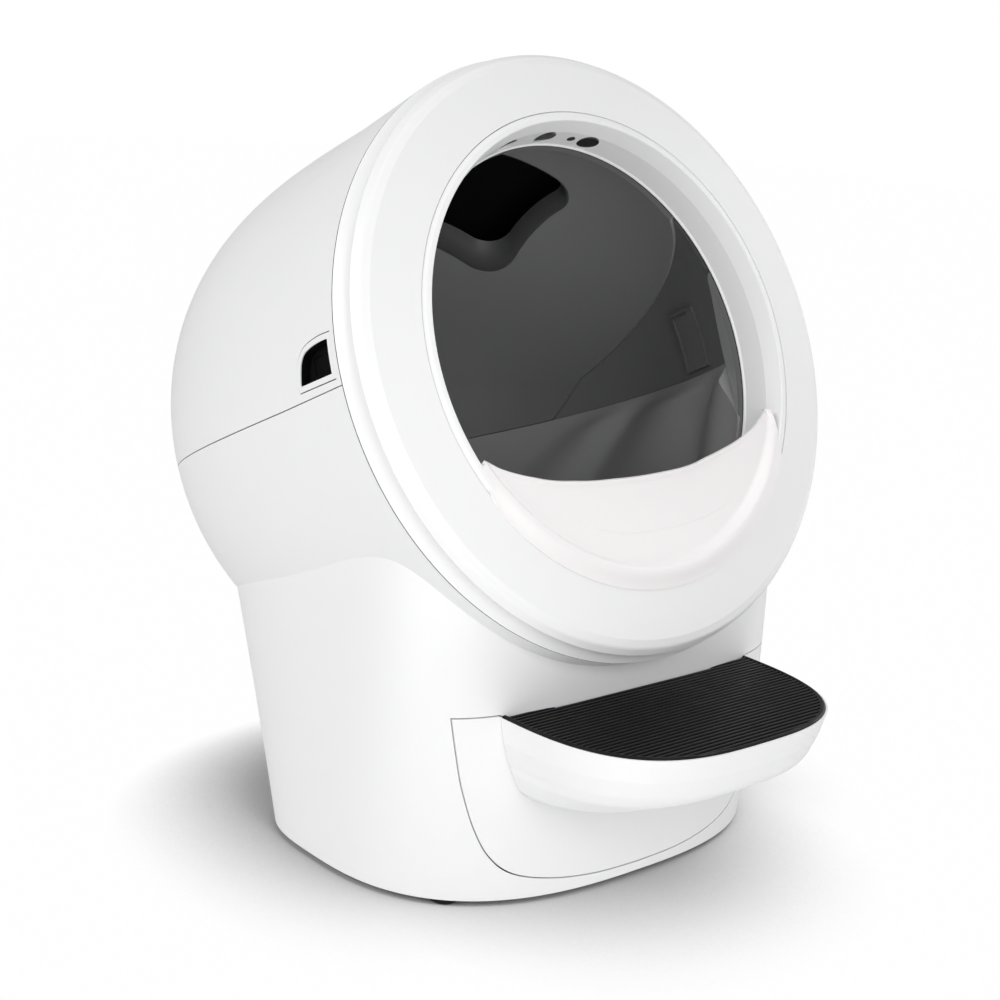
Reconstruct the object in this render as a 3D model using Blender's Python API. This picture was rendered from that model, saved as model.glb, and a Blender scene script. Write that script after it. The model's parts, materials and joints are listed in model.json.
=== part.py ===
"""Self cleaning litter box: a dark globe turns about a tilted axis inside a white barrel body, over a
waste drawer with a step. Metres, +Z up, front towards -Y, origin on the floor under the middle."""

import math

import bmesh
import bpy
from mathutils import Matrix, Vector

# Clearances shared by the whole object
SEAT_GAP = 0.0003
RUNNING_GAP = 0.0006
PANEL_GAP = 0.0010
OVERRUN = 0.02
ROUND_STEPS = 48
ROLLER_STEPS = 24
SMALL_STEPS = 16
PIN_STEPS = 12
CORNER_STEPS = 6
WELD = 0.00001

# The globe's axis and the front ring that stands square to it
TILT = math.radians(24.5)
RING_HEIGHT = 0.4805
GLOBE_RADIUS = 0.2475
GLOBE_CENTRE = 0.165

# Barrel: a round body that tapers a little and closes in a flattened dome
WALL = 0.003
BARREL_FRONT = 0.0190
GLOBE_TO_BARREL = 0.0367
BARREL_TAPER = 0.0041
BARREL_RADIUS = GLOBE_RADIUS + GLOBE_TO_BARREL
BARREL_REAR_RADIUS = BARREL_RADIUS - BARREL_TAPER
BARREL_STRAIGHT = 0.119
GLOBE_TO_DOME = 0.0325
BARREL_DEPTH = GLOBE_CENTRE + GLOBE_RADIUS + GLOBE_TO_DOME
BARREL_ROUNDING = 3.58
BARREL_RINGS = 9
SPLIT_OFFSET = 0.0076

# Column under the barrel: plan curves at the floor end and at shoulder height
COLUMN_CENTRE = 0.0878
SHELL_FLOOR_GAP = 0.006
SHOULDER_HEIGHT = 0.300
COLUMN_HALF_WIDTH_LOW = 0.2386
COLUMN_HALF_WIDTH_HIGH = 0.2416
COLUMN_FRONT_LOW = 0.1885
COLUMN_FRONT_HIGH = 0.1464
COLUMN_REAR_LOW = 0.1400
COLUMN_REAR_HIGH = 0.3050
FRONT_ROUNDING_LOW = 2.61
FRONT_ROUNDING_HIGH = 5.07
REAR_ROUNDING = 3.2
COLUMN_POINTS = 60
COLUMN_RINGS = 4
COLUMN_TOP_FRONT = 0.345
COLUMN_TOP_SLOPE_SHARE = 0.244

# Bezel and entry ring
BEZEL_LIP_INSET = 0.0007
BEZEL_LIP_RADIUS = BARREL_RADIUS - BEZEL_LIP_INSET
BEZEL_LIP_BACK = 0.0100
RIM_INSET = 0.0047
RIM_RADIUS = BARREL_RADIUS - RIM_INSET
BEZEL_SHOULDER_INSET = 0.0050
BEZEL_SHOULDER_RADIUS = RIM_RADIUS - BEZEL_SHOULDER_INSET
BEZEL_SHOULDER = 0.0078
BEZEL_FACE_INSET = 0.0122
BEZEL_FACE_RADIUS = RIM_RADIUS - BEZEL_FACE_INSET
BEZEL_FACE = 0.0109
THROAT_INSET = 0.0423
THROAT_FRONT_RADIUS = GLOBE_RADIUS - THROAT_INSET
THROAT_FRONT = 0.0028
THROAT_TAPER = 0.0028
THROAT_REAR_RADIUS = THROAT_FRONT_RADIUS - THROAT_TAPER
THROAT_REAR = 0.0239
ENTRY_FLARE = 0.0062
ENTRY_CREST_RADIUS = THROAT_FRONT_RADIUS + ENTRY_FLARE
ENTRY_CREST = 0.0200
ENTRY_BORDER = 0.0079
ENTRY_BULGE = 0.0016
GROOVE_RADIUS = ENTRY_CREST_RADIUS + ENTRY_BORDER
GROOVE_FACE = 0.0172
GROOVE_WIDTH = 0.0008
GROOVE_DEPTH = 0.0060
RING_WALL = 0.0028
BACK_PLATE = 0.0025

# Curtain sensors in the top of the throat
SENSOR_ANGLES = tuple(math.radians(a) for a in (-18.0, -3.0, 4.7, 12.0))
SENSOR_RADII = (0.0065, 0.0065, 0.0025, 0.0072)
SENSOR_PLACE = 0.0085
SENSOR_DEPTH = 0.0022
SENSOR_BOARD_LENGTH = 0.130
SENSOR_BOARD_WIDTH = 0.012
SENSOR_BOARD_THICKNESS = 0.0016

# Litter fence, a crescent that clips over the bottom of the entry ring
FENCE_PLATE_FRONT = 0.0135
FENCE_THICKNESS = 0.0024
FENCE_FLANGE_FRONT = 0.0236
FENCE_LAP = 0.0045
FENCE_FLANGE_RADIUS = GROOVE_RADIUS + FENCE_LAP
FENCE_INSET = 0.0012
FENCE_RIM_RADIUS = THROAT_FRONT_RADIUS - FENCE_INSET
FENCE_TOP_DROP = 0.1180
FENCE_TOP_RADIUS = 0.480
FENCE_CENTRE_HOLE = 0.100

# Globe
GLOBE_WALL = 0.003
GLOBE_FRONT = 0.0290
GLOBE_SEAM_OFFSET = 0.012
GLOBE_RINGS = 14
LINER_THICKNESS = 0.0028
COLLAR_BACK = 0.0600
COLLAR_FRONT = 0.0305
COLLAR_TOP = 0.074
PORT_HALF_WIDTH = 0.140
PORT_FRONT = 0.137
PORT_BACK = 0.279
PORT_CORNER = 0.030
PORT_FRAME_WIDTH = 0.010
PORT_FRAME_PROUD = 0.003
PANEL_EDGE_HEIGHT = 0.155
PANEL_EDGE_PLACE = 0.034
PANEL_EDGE_HALF_WIDTH = 0.137
PANEL_EDGE_SLOPE_SHARE = 0.42
PANEL_EDGE_SPREAD_SHARE = 0.414
TAB_FRONT = 0.094
TAB_BACK = 0.139
TAB_TOP = 0.060
TAB_BOTTOM = 0.006

# Gears
RING_TEETH = 102
GEAR_STANDOFF = 0.0075
GEAR_MODULE = 2 * (GLOBE_RADIUS + GEAR_STANDOFF) / RING_TEETH
PINION_TEETH = 13
PRESSURE_ANGLE = math.radians(25.0)
ADDENDUM_SHARE = 0.8
DEDENDUM_SHARE = 1.05
RING_FLANK_SHARES = (0, 1)
PINION_FLANK_SHARES = (0, 0.35, 0.65, 1)
BACKLASH = 0.0009
GEAR_FRONT = 0.108
GEAR_WIDTH = 0.010
RAIL_PROUD = 0.0005
RAIL_RADIUS = GLOBE_RADIUS + RAIL_PROUD
RAIL_WIDTH = 0.010
PINION_ANGLE = math.radians(-52.0)
SHAFT_RADIUS = 0.004
SHAFT_NOSE = 0.002
SHAFT_REACH = 0.017

# Rollers and the stands that carry them
ROLLER_RADIUS = 0.012
ROLLER_WIDTH = 0.009
ROLLER_BORE = 0.0034
PIN_RADIUS = 0.003
ROLLER_SPREAD = math.radians(30.0)
STAND_THICKNESS = 0.004
STAND_HALF_WIDTH = 0.145
STAND_ARC_SHARE = 0.98
STAND_ARC_STEPS = 16
TRACK_BEHIND_CENTRE = 0.130
REAR_TRACK_FRONT = GLOBE_CENTRE + TRACK_BEHIND_CENTRE
REAR_TRACK_WIDTH = 0.010
REAR_TRACK_HEIGHT = 0.0080

# Drive
MOTOR_RADIUS = 0.019
MOTOR_LENGTH = 0.062
GEARBOX_RADIUS = 0.025
GEARBOX_LENGTH = 0.022
MOUNT_GAP = 0.0024
MOUNT_THICKNESS = 0.0035
MOUNT_HALF_WIDTH = 0.028
MOUNT_TOP = 0.036
PORT_FRAME_MARGIN = 0.0005

# Deck with its chute
DECK_LOW = 0.140
DECK_THICKNESS = 0.004
CHUTE_HALF_WIDTH = 0.142
CHUTE_FRONT = 0.012
CHUTE_BACK = 0.168
CHUTE_CORNER = 0.030
CHUTE_WALL = 0.003
CHUTE_TOP = 0.215
CHUTE_CLEARANCE = 0.005
SEAL_CLEARANCE = 0.0015
SEAL_WALL = 0.003

# Position sensing
MAGNET_RADIUS = 0.002
MAGNET_THICKNESS = 0.0018
MAGNET_INSET = 0.0045
MAGNET_PLACE = RAIL_RADIUS - MAGNET_INSET
HALL_SIZE = 0.006
HALL_HEIGHT = 0.0015
HALL_DEPTH = 0.0036

# Control panel on the right of the base
PANEL_ANGLE = math.radians(-10.0)
PANEL_FRONT = 0.052
PANEL_BACK = 0.140
PANEL_HALF_HEIGHT = 0.013
PANEL_SINK = 0.0017
PANEL_THICKNESS = 0.003
BUTTON_COUNT = 4
BUTTON_RADIUS = 0.0065
BUTTON_PROUD = 0.0012
BUTTON_LENGTH = 0.0055
BUTTON_PITCH = 0.020

# Bonnet latches, one each side
LATCH_ANGLE = math.radians(4.15)
WINDOW_FRONT = 0.032
WINDOW_BACK = 0.084
WINDOW_HALF_HEIGHT = 0.0160
WINDOW_CORNER = 0.024
LATCH_RIM = 0.0038
LATCH_SINK = 0.0020
LATCH_PLATE = 0.0025
LATCH_CUP = 0.017
PADDLE_RECESS = 0.0090
PADDLE_THICKNESS = 0.005
PADDLE_GRIP_DEPTH = 0.0017

# Drawer
DRAWER_TOP = 0.1795
DRAWER_HALF_WIDTH_TOP = 0.200
DRAWER_HALF_WIDTH = 0.184
DRAWER_CURVE_TOP = 0.095
DRAWER_BOTTOM = 0.0125
DRAWER_ROUNDING = 2.5
DRAWER_CURVE_POINTS = 18
DRAWER_PANEL = 0.004
DRAWER_REAR = 0.188
TRAY_HALF_WIDTH_TOP = 0.160
TRAY_HALF_WIDTH = 0.150
TRAY_TOP = 0.128
TRAY_BOTTOM = 0.028
TRAY_CORNER = 0.050
TRAY_WALL = 0.0025
BAG_FRAME_HEIGHT = 0.004
BAG_FRAME_WIDTH = 0.008
FILTER_HALF_WIDTH = 0.060
FILTER_HEIGHT = 0.078
FILTER_SLOTS = 4
FILTER_SLOT_SHARE = 0.85
FILTER_DEPTH = 0.020
RAIL_PLACE = 0.085
DRAWER_RAIL_WIDTH = 0.010
DRAWER_RAIL_FRONT = -0.040

# Step and its mat
STEP_TOP = 0.1780
STEP_CENTRE = -0.066
STEP_HALF_WIDTH = 0.1585
STEP_REACH = 0.1695
STEP_ROUNDING = 2.95
STEP_POINTS = 32
STEP_CREASE = 0.150
STEP_CREASE_INSET = 0.010
STEP_SIDE_SHARE = 0.5
STEP_EDGE = 0.126
STEP_EDGE_INSET = 0.028
STEP_FLOOR = 0.0985
STEP_FLOOR_HALF_WIDTH = 0.128
STEP_FLOOR_REACH = 0.040
STEP_WALL = 0.003
MAT_THICKNESS = 0.0040
MAT_PROUD = 0.0013
MAT_INSET = 0.0022
STEP_BACK = -0.030

# Bottom plate, feet, board and inlet
PLATE_LOW = 0.0075
PLATE_THICKNESS = 0.003
FOOT_RADIUS = 0.014
FRONT_FOOT = (0.176, -0.028)
REAR_FOOT = (0.128, 0.178)
BOARD_HALF_WIDTH = 0.060
BOARD_HEIGHT = 0.055
BOARD_PLACE = 0.208
BOARD_THICKNESS = 0.0016
BOARD_PARTS = ((-0.035, 0.020, 0.018, 0.010), (0.010, 0.030, 0.014, 0.006), (0.040, 0.012, 0.010, 0.012))
INLET_PLACE = 0.090
INLET_HEIGHT = 0.045
INLET_RADIUS = 0.0090
INLET_BORE = 0.0042
INLET_DEPTH = 0.018
INLET_FLANGE = 0.0125
INLET_FLANGE_THICKNESS = 0.002
INLET_FLANGE_SEAT = 0.0045


def clear_scene():
    for item in list(bpy.data.objects):
        bpy.data.objects.remove(item, do_unlink=True)


# Curves that give the outer shapes

def barrel_radius(depth):
    """Outer radius of the barrel at a depth behind the rim's plane."""
    straight = min(max((depth - BARREL_FRONT) / (BARREL_STRAIGHT - BARREL_FRONT), 0), 1)
    radius = BARREL_RADIUS + (BARREL_REAR_RADIUS - BARREL_RADIUS) * straight
    share = min(max((depth - BARREL_STRAIGHT) / (BARREL_DEPTH - BARREL_STRAIGHT), 0), 1)
    return radius * (1 - share ** BARREL_ROUNDING) ** (1 / BARREL_ROUNDING)


def barrel_profile(inset, front):
    """(radius, place) points from the front edge round the dome to the axis, a wall's inset inwards."""
    points = [(BARREL_RADIUS - inset, front)]
    if front > -BARREL_FRONT:
        points.append((BARREL_RADIUS - inset, -BARREL_FRONT))
    for k in range(BARREL_RINGS):
        angle = 0.5 * math.pi * k / BARREL_RINGS
        share = math.sin(angle) ** (2 / BARREL_ROUNDING)
        depth = BARREL_STRAIGHT + (BARREL_DEPTH - BARREL_STRAIGHT) * share
        radius = barrel_radius(depth)
        shrink = inset / BARREL_REAR_RADIUS
        back = BARREL_STRAIGHT + (depth - BARREL_STRAIGHT) * (1 - inset / (BARREL_DEPTH - BARREL_STRAIGHT))
        points.append((radius * (1 - shrink), -back))
    points.append((0, -(BARREL_DEPTH - inset)))
    return points


def rear_reach():
    """How far behind the ring's centre the dome reaches."""
    profile = barrel_profile(0, -BARREL_FRONT)
    return max(radius * math.sin(TILT) - place * math.cos(TILT) for radius, place in profile)


STEP_FRONT = STEP_REACH - STEP_CENTRE
RING_Y = (STEP_FRONT - rear_reach()) / 2
RING_CENTRE = Vector((0, RING_Y, RING_HEIGHT))
GLOBE_FRAME = Matrix.Translation(RING_CENTRE) @ Matrix.Rotation(math.pi / 2 - TILT, 4, "X")


def mix(low, high, height):
    """Size at a height, run in a straight line from the floor to the shoulder."""
    return low + (high - low) * height / SHOULDER_HEIGHT


def column_point(angle, height, inset):
    """Point of the column's plan curve: a rounded shape, rounder in front near the floor."""
    half = mix(COLUMN_HALF_WIDTH_LOW, COLUMN_HALF_WIDTH_HIGH, height) - inset
    front = mix(COLUMN_FRONT_LOW, COLUMN_FRONT_HIGH, height) - inset
    rear = mix(COLUMN_REAR_LOW, COLUMN_REAR_HIGH, height) - inset
    c, s = math.cos(angle), math.sin(angle)
    power = REAR_ROUNDING if s > 0 else mix(FRONT_ROUNDING_LOW, FRONT_ROUNDING_HIGH, height)
    x = half * math.copysign(abs(c) ** (2 / power), c)
    y = math.copysign(abs(s) ** (2 / power), s) * (rear if s > 0 else front)
    return x, RING_Y + COLUMN_CENTRE + y


def column_outline(height, inset):
    turn = 2 * math.pi / COLUMN_POINTS
    return [column_point((k + 0.5) * turn, height, inset) for k in range(COLUMN_POINTS)]


def drawer_outline(inset):
    """Front view of the drawer's panel in (x, z), from the top right corner round the bottom."""
    points = [(DRAWER_HALF_WIDTH_TOP - inset, DRAWER_TOP - inset)]
    height = DRAWER_CURVE_TOP - DRAWER_BOTTOM - inset
    for k in range(DRAWER_CURVE_POINTS + 1):
        angle = math.pi * k / DRAWER_CURVE_POINTS
        c, s = math.cos(angle), math.sin(angle)
        x = (DRAWER_HALF_WIDTH - inset) * math.copysign(abs(c) ** (2 / DRAWER_ROUNDING), c)
        points.append((x, DRAWER_CURVE_TOP - height * s ** (2 / DRAWER_ROUNDING)))
    points.append((-DRAWER_HALF_WIDTH_TOP + inset, DRAWER_TOP - inset))
    return points


def tray_outline(inset, top):
    """Section of the tray in (x, z): sloping sides, round lower corners and a flat bottom."""
    corner = TRAY_CORNER - inset
    side = TRAY_HALF_WIDTH - TRAY_CORNER
    right = [(TRAY_HALF_WIDTH_TOP - inset, top)]
    for k in range(CORNER_STEPS + 1):
        angle = 0.5 * math.pi * k / CORNER_STEPS
        z = TRAY_BOTTOM + TRAY_CORNER - corner * math.sin(angle)
        right.append((side + corner * math.cos(angle), z))
    return right + [(-x, z) for x, z in reversed(right)]


def step_outline(half, reach, back):
    """Plan of the step: straight sides and a rounded front."""
    y = RING_Y + STEP_CENTRE
    points = [(half, RING_Y + back)]
    for k in range(STEP_POINTS + 1):
        angle = math.pi * k / STEP_POINTS
        c, s = math.cos(angle), math.sin(angle)
        x = half * math.copysign(abs(c) ** (2 / STEP_ROUNDING), c)
        points.append((x, y - reach * s ** (2 / STEP_ROUNDING)))
    points.append((-half, RING_Y + back))
    return points


def rounded_rectangle(x_low, x_high, y_low, y_high, corner):
    points = []
    for cx, cy, start in (
        (x_high - corner, y_high - corner, 0),
        (x_low + corner, y_high - corner, 1),
        (x_low + corner, y_low + corner, 2),
        (x_high - corner, y_low + corner, 3),
    ):
        for k in range(CORNER_STEPS + 1):
            angle = 0.5 * math.pi * (start + k / CORNER_STEPS)
            points.append((cx + corner * math.cos(angle), cy + corner * math.sin(angle)))
    return points


def circle(radius, steps, x=0, y=0):
    turn = 2 * math.pi / steps
    return [(x + radius * math.cos(k * turn), y + radius * math.sin(k * turn)) for k in range(steps)]


# Solids from outlines

def grow(rings, closed_ends):
    """Skin over rings of equal length; each end is filled, or the last ring joins the first."""
    bm = bmesh.new()
    rows = [[bm.verts.new(p) for p in ring] for ring in rings]
    pairs = list(zip(rows, rows[1:]))
    if not closed_ends:
        pairs.append((rows[-1], rows[0]))
    for low, high in pairs:
        for k in range(len(low)):
            n = (k + 1) % len(low)
            bm.faces.new((low[k], low[n], high[n], high[k]))
    if closed_ends:
        bm.faces.new(reversed(rows[0]))
        bm.faces.new(rows[-1])
    return face_out(bm)


def face_out(bm):
    bmesh.ops.recalc_face_normals(bm, faces=bm.faces[:])
    if bm.calc_volume(signed=True) < 0:
        bmesh.ops.reverse_faces(bm, faces=bm.faces[:])
    return bm


def prism(outline, low, high):
    """Outline in XY, drawn up from low to high."""
    return grow([[(x, y, low) for x, y in outline], [(x, y, high) for x, y in outline]], True)


def drawn_back(outline, front, back):
    """Outline in XZ, drawn from front to back along Y."""
    return grow([[(x, front, z) for x, z in outline], [(x, back, z) for x, z in outline]], True)


def box(low, high):
    corners = [(low[0], low[1]), (high[0], low[1]), (high[0], high[1]), (low[0], high[1])]
    return prism(corners, low[2], high[2])


def turned(profile, steps=ROUND_STEPS):
    """Turns (radius, place) points round Z. A profile that starts or ends on the axis is closed there."""
    bm = bmesh.new()
    poles = {k: bm.verts.new((0, 0, s)) for k, (r, s) in enumerate(profile) if r == 0}
    rings = {}
    for k, (r, s) in enumerate(profile):
        if k not in poles:
            rings[k] = [bm.verts.new((x, y, s)) for x, y in circle(r, steps)]
    count = len(profile)
    for k in range(count):
        n = (k + 1) % count
        if k in poles and n in poles:
            continue
        for i in range(steps):
            j = (i + 1) % steps
            if k in poles:
                bm.faces.new((poles[k], rings[n][j], rings[n][i]))
            elif n in poles:
                bm.faces.new((rings[k][i], rings[k][j], poles[n]))
            else:
                bm.faces.new((rings[k][i], rings[k][j], rings[n][j], rings[n][i]))
    return face_out(bm)


def rod(radius, low, high, x=0, y=0, steps=SMALL_STEPS):
    return prism(circle(radius, steps, x, y), low, high)


def moved(bm, matrix):
    bm.transform(matrix)
    return bm


def joined(first, second, operation):
    """Boolean of two bmeshes with the exact solver. Both are used up."""
    pair = []
    for bm in (first, second):
        mesh = bpy.data.meshes.new("work")
        bm.to_mesh(mesh)
        bm.free()
        pair.append(bpy.data.objects.new("work", mesh))
        bpy.context.scene.collection.objects.link(pair[-1])
    modifier = pair[0].modifiers.new("join", "BOOLEAN")
    modifier.operation = operation
    modifier.object = pair[1]
    modifier.solver = "EXACT"
    bpy.context.view_layer.update()
    result = bmesh.new()
    result.from_object(pair[0], bpy.context.evaluated_depsgraph_get())
    for item in pair:
        mesh = item.data
        bpy.data.objects.remove(item, do_unlink=True)
        bpy.data.meshes.remove(mesh)
    return result


def cut(bm, *cutters):
    for cutter in cutters:
        bm = joined(bm, cutter, "DIFFERENCE")
    return bm


def fused(bm, *others):
    for other in others:
        bm = joined(bm, other, "UNION")
    return bm


def common(bm, other):
    return joined(bm, other, "INTERSECT")


# Materials and placing

MATERIALS = {}


def material(name, colour, roughness, metallic=0.0):
    if name not in MATERIALS:
        made = bpy.data.materials.new(name)
        made.use_nodes = True
        shader = made.node_tree.nodes["Principled BSDF"]
        shader.inputs["Base Color"].default_value = (*colour, 1.0)
        shader.inputs["Roughness"].default_value = roughness
        shader.inputs["Metallic"].default_value = metallic
        made.diffuse_color = (*colour, 1.0)
        MATERIALS[name] = made
    return MATERIALS[name]


def white_plastic():
    return material("white_plastic", (0.88, 0.88, 0.88), 0.38)


def fence_plastic():
    return material("fence_plastic", (0.90, 0.87, 0.875), 0.42)


def dark_plastic():
    return material("dark_plastic", (0.055, 0.056, 0.058), 0.5)


def black_plastic():
    return material("black_plastic", (0.012, 0.012, 0.013), 0.5)


def inner_plastic():
    return material("inner_plastic", (0.30, 0.31, 0.32), 0.55)


def liner_rubber():
    return material("liner_rubber", (0.075, 0.076, 0.078), 0.7)


def mat_rubber():
    return material("mat_rubber", (0.010, 0.010, 0.011), 0.6)


def seal_foam():
    return material("seal_foam", (0.03, 0.03, 0.03), 0.9)


def steel():
    return material("steel", (0.55, 0.56, 0.58), 0.3, 1.0)


def board_green():
    return material("board_green", (0.02, 0.12, 0.05), 0.5)


def frame_empty(name, matrix, parent=None):
    """Empty at a world matrix, to carry the pieces that share a joint's axis."""
    empty = bpy.data.objects.new(name, None)
    empty.empty_display_size = PANEL_HALF_HEIGHT
    bpy.context.scene.collection.objects.link(empty)
    if parent:
        empty.parent = parent
        matrix = parent.matrix_world.inverted() @ matrix
    empty.matrix_basis = matrix
    bpy.context.view_layer.update()
    return empty


def part(name, bm, made_of, parent, smooth=math.radians(35.0)):
    """One named sub-part, its mesh given in its parent's frame."""
    bmesh.ops.remove_doubles(bm, verts=bm.verts[:], dist=WELD)
    bmesh.ops.dissolve_degenerate(bm, edges=bm.edges[:], dist=WELD)
    mesh = bpy.data.meshes.new(name)
    bm.to_mesh(mesh)
    bm.free()
    mesh.shade_smooth()
    mesh.set_sharp_from_angle(angle=smooth)
    mesh.materials.append(made_of)
    item = bpy.data.objects.new(name, mesh)
    bpy.context.scene.collection.objects.link(item)
    item.parent = parent
    return item


# Body shells

def below_split(offset):
    """Large block under the split plane, in the globe's frame."""
    reach = BARREL_DEPTH + COLUMN_TOP_FRONT
    return box((-reach, -reach, -reach), (reach, -SPLIT_OFFSET + offset, reach))


def above_split(offset):
    reach = BARREL_DEPTH + COLUMN_TOP_FRONT
    return box((-reach, -SPLIT_OFFSET + offset, -reach), (reach, reach, reach))


def barrel_solid(inset, front):
    return turned([(0, front)] + barrel_profile(inset, front))


def sliced(bm, point, normal):
    """Cuts a block off flat beyond a plane."""
    bmesh.ops.bisect_plane(
        bm, geom=bm.verts[:] + bm.edges[:] + bm.faces[:], plane_co=point, plane_no=normal, clear_outer=True
    )
    open_edges = [edge for edge in bm.edges if edge.is_boundary]
    bmesh.ops.holes_fill(bm, edges=open_edges, sides=0)
    return face_out(bm)


def column_solid(inset, low, drop=0):
    """Column block from a height up to the sloping plane that keeps it inside the barrel."""
    top = COLUMN_TOP_FRONT
    heights = [-OVERRUN + (top + OVERRUN) * k / COLUMN_RINGS for k in range(COLUMN_RINGS + 1)]
    bm = grow([[(x, y, z) for x, y in column_outline(z, inset)] for z in heights], True)
    bmesh.ops.triangulate(bm, faces=bm.faces[:], quad_method="FIXED")
    shoulder = Vector((0, RING_Y + COLUMN_CENTRE - COLUMN_FRONT_HIGH, top - drop))
    bm = sliced(bm, shoulder, Vector((0, COLUMN_TOP_SLOPE_SHARE, 1)).normalized())
    if low > -OVERRUN:
        bm = sliced(bm, Vector((0, 0, low)), Vector((0, 0, -1)))
    return bm


def drawer_block(inset, back):
    """Block with the drawer panel's front outline, for the panel itself and for its opening."""
    return drawn_back(drawer_outline(inset), RING_Y - STEP_FRONT, RING_Y + back)


def make_base_shell(base):
    outer = common(barrel_solid(0, -BARREL_FRONT - SEAT_GAP), below_split(-SEAT_GAP / 2))
    shell = fused(moved(outer, GLOBE_FRAME), column_solid(0, SHELL_FLOOR_GAP))
    shell = cut(shell, moved(barrel_solid(WALL, OVERRUN * 2), GLOBE_FRAME))
    shell = cut(shell, column_solid(WALL, SHELL_FLOOR_GAP - OVERRUN, WALL))
    shell = cut(shell, drawer_block(-PANEL_GAP, 0))
    shell = cut(shell, moved(panel_block(SEAT_GAP, OVERRUN), GLOBE_FRAME))
    shell = cut(shell, inlet_rod(INLET_RADIUS + SEAT_GAP, OVERRUN))
    part("base_shell", shell, white_plastic(), base)


def make_bonnet(bonnet):
    shell = cut(barrel_solid(0, -BARREL_FRONT - SEAT_GAP), barrel_solid(WALL, OVERRUN))
    shell = common(shell, above_split(SEAT_GAP / 2))
    for side in (1, -1):
        low, high = latch_face() - OVERRUN, BARREL_RADIUS + OVERRUN
        shell = cut(shell, latch_block(side, LATCH_RIM + SEAT_GAP, low, high))
    part("bonnet_shell", shell, white_plastic(), bonnet)


# Latches in the bonnet

def latch_face():
    """Distance of the window frame's face from the axis, just under the barrel's surface."""
    return barrel_radius((WINDOW_FRONT + WINDOW_BACK) / 2) - LATCH_SINK


def latch_frame(side):
    """Frame whose +X points out through the window, in the globe's frame."""
    angle = LATCH_ANGLE if side > 0 else math.pi - LATCH_ANGLE
    return Matrix.Rotation(angle, 4, "Z")


def window_outline(margin, side):
    """Window in (tangent, place): square at the front and below, with one round corner behind."""
    corner = WINDOW_CORNER + margin
    front, back = -WINDOW_FRONT + margin, -WINDOW_BACK - margin
    low, high = -WINDOW_HALF_HEIGHT - margin, WINDOW_HALF_HEIGHT + margin
    points = [(low, front), (high, front)]
    for k in range(CORNER_STEPS + 1):
        angle = 0.5 * math.pi * k / CORNER_STEPS
        tangent = high - corner + corner * math.cos(angle)
        points.append((tangent, back + corner - corner * math.sin(angle)))
    points.append((low, back))
    return [(side * t, s) for t, s in points]


def latch_block(side, margin, low, high):
    """Block with the window's outline between two distances from the axis."""
    outline = window_outline(margin, side)
    rings = [[(r, t, s) for t, s in outline] for r in (low, high)]
    return moved(grow(rings, True), latch_frame(side))


def make_latch(side, name, bonnet, paddle_parent):
    face, back = latch_face(), latch_face() - LATCH_CUP
    housing = latch_block(side, LATCH_RIM, face - LATCH_PLATE, face)
    housing = fused(housing, latch_block(side, LATCH_PLATE, back, face - LATCH_PLATE / 2))
    housing = cut(housing, latch_block(side, 0, back - OVERRUN, face + OVERRUN))
    part("latch_housing_" + name, housing, white_plastic(), bonnet)
    outer = face - PADDLE_RECESS
    paddle = latch_block(side, -RUNNING_GAP, outer - PADDLE_THICKNESS, outer)
    grip = latch_block(side, -RUNNING_GAP - LATCH_RIM, outer - PADDLE_GRIP_DEPTH, outer + OVERRUN)
    paddle = cut(paddle, grip)
    part("latch_paddle_" + name, paddle, black_plastic(), paddle_parent)


# Bezel, entry ring, sensors and fence

def make_bezel_ring(bezel):
    inner = GROOVE_RADIUS + GROOVE_WIDTH / 2
    profile = [
        (BARREL_RADIUS, -BARREL_FRONT),
        (BEZEL_LIP_RADIUS, -BEZEL_LIP_BACK),
        (RIM_RADIUS, 0),
        (BEZEL_SHOULDER_RADIUS, BEZEL_SHOULDER),
        (BEZEL_FACE_RADIUS, BEZEL_FACE),
        (inner, GROOVE_FACE),
        (inner, GROOVE_FACE - GROOVE_DEPTH),
        (inner + RING_WALL, GROOVE_FACE - GROOVE_DEPTH),
        (inner + RING_WALL, GROOVE_FACE - RING_WALL),
        (BEZEL_FACE_RADIUS - RING_WALL / 2, BEZEL_FACE - RING_WALL),
        (BEZEL_SHOULDER_RADIUS - RING_WALL, BEZEL_SHOULDER - RING_WALL),
        (RIM_RADIUS - RING_WALL, -RING_WALL),
        (BARREL_RADIUS - RING_WALL, -BARREL_FRONT),
    ]
    part("bezel_ring", turned(profile), white_plastic(), bezel)


def throat_radius(place):
    """Inner radius of the entry ring between the throat's front and rear."""
    share = (THROAT_FRONT - place) / (THROAT_FRONT + THROAT_REAR)
    return THROAT_FRONT_RADIUS + (THROAT_REAR_RADIUS - THROAT_FRONT_RADIUS) * share


def sensor_rods(extra, low, high):
    for angle, radius in zip(SENSOR_ANGLES, SENSOR_RADII):
        turn = Matrix.Rotation(-angle, 4, "Z") @ Matrix.Translation((0, 0, -SENSOR_PLACE))
        upright = Matrix.Rotation(-math.pi / 2, 4, "X")
        yield moved(rod(radius + extra, low, high), turn @ upright)


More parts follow.
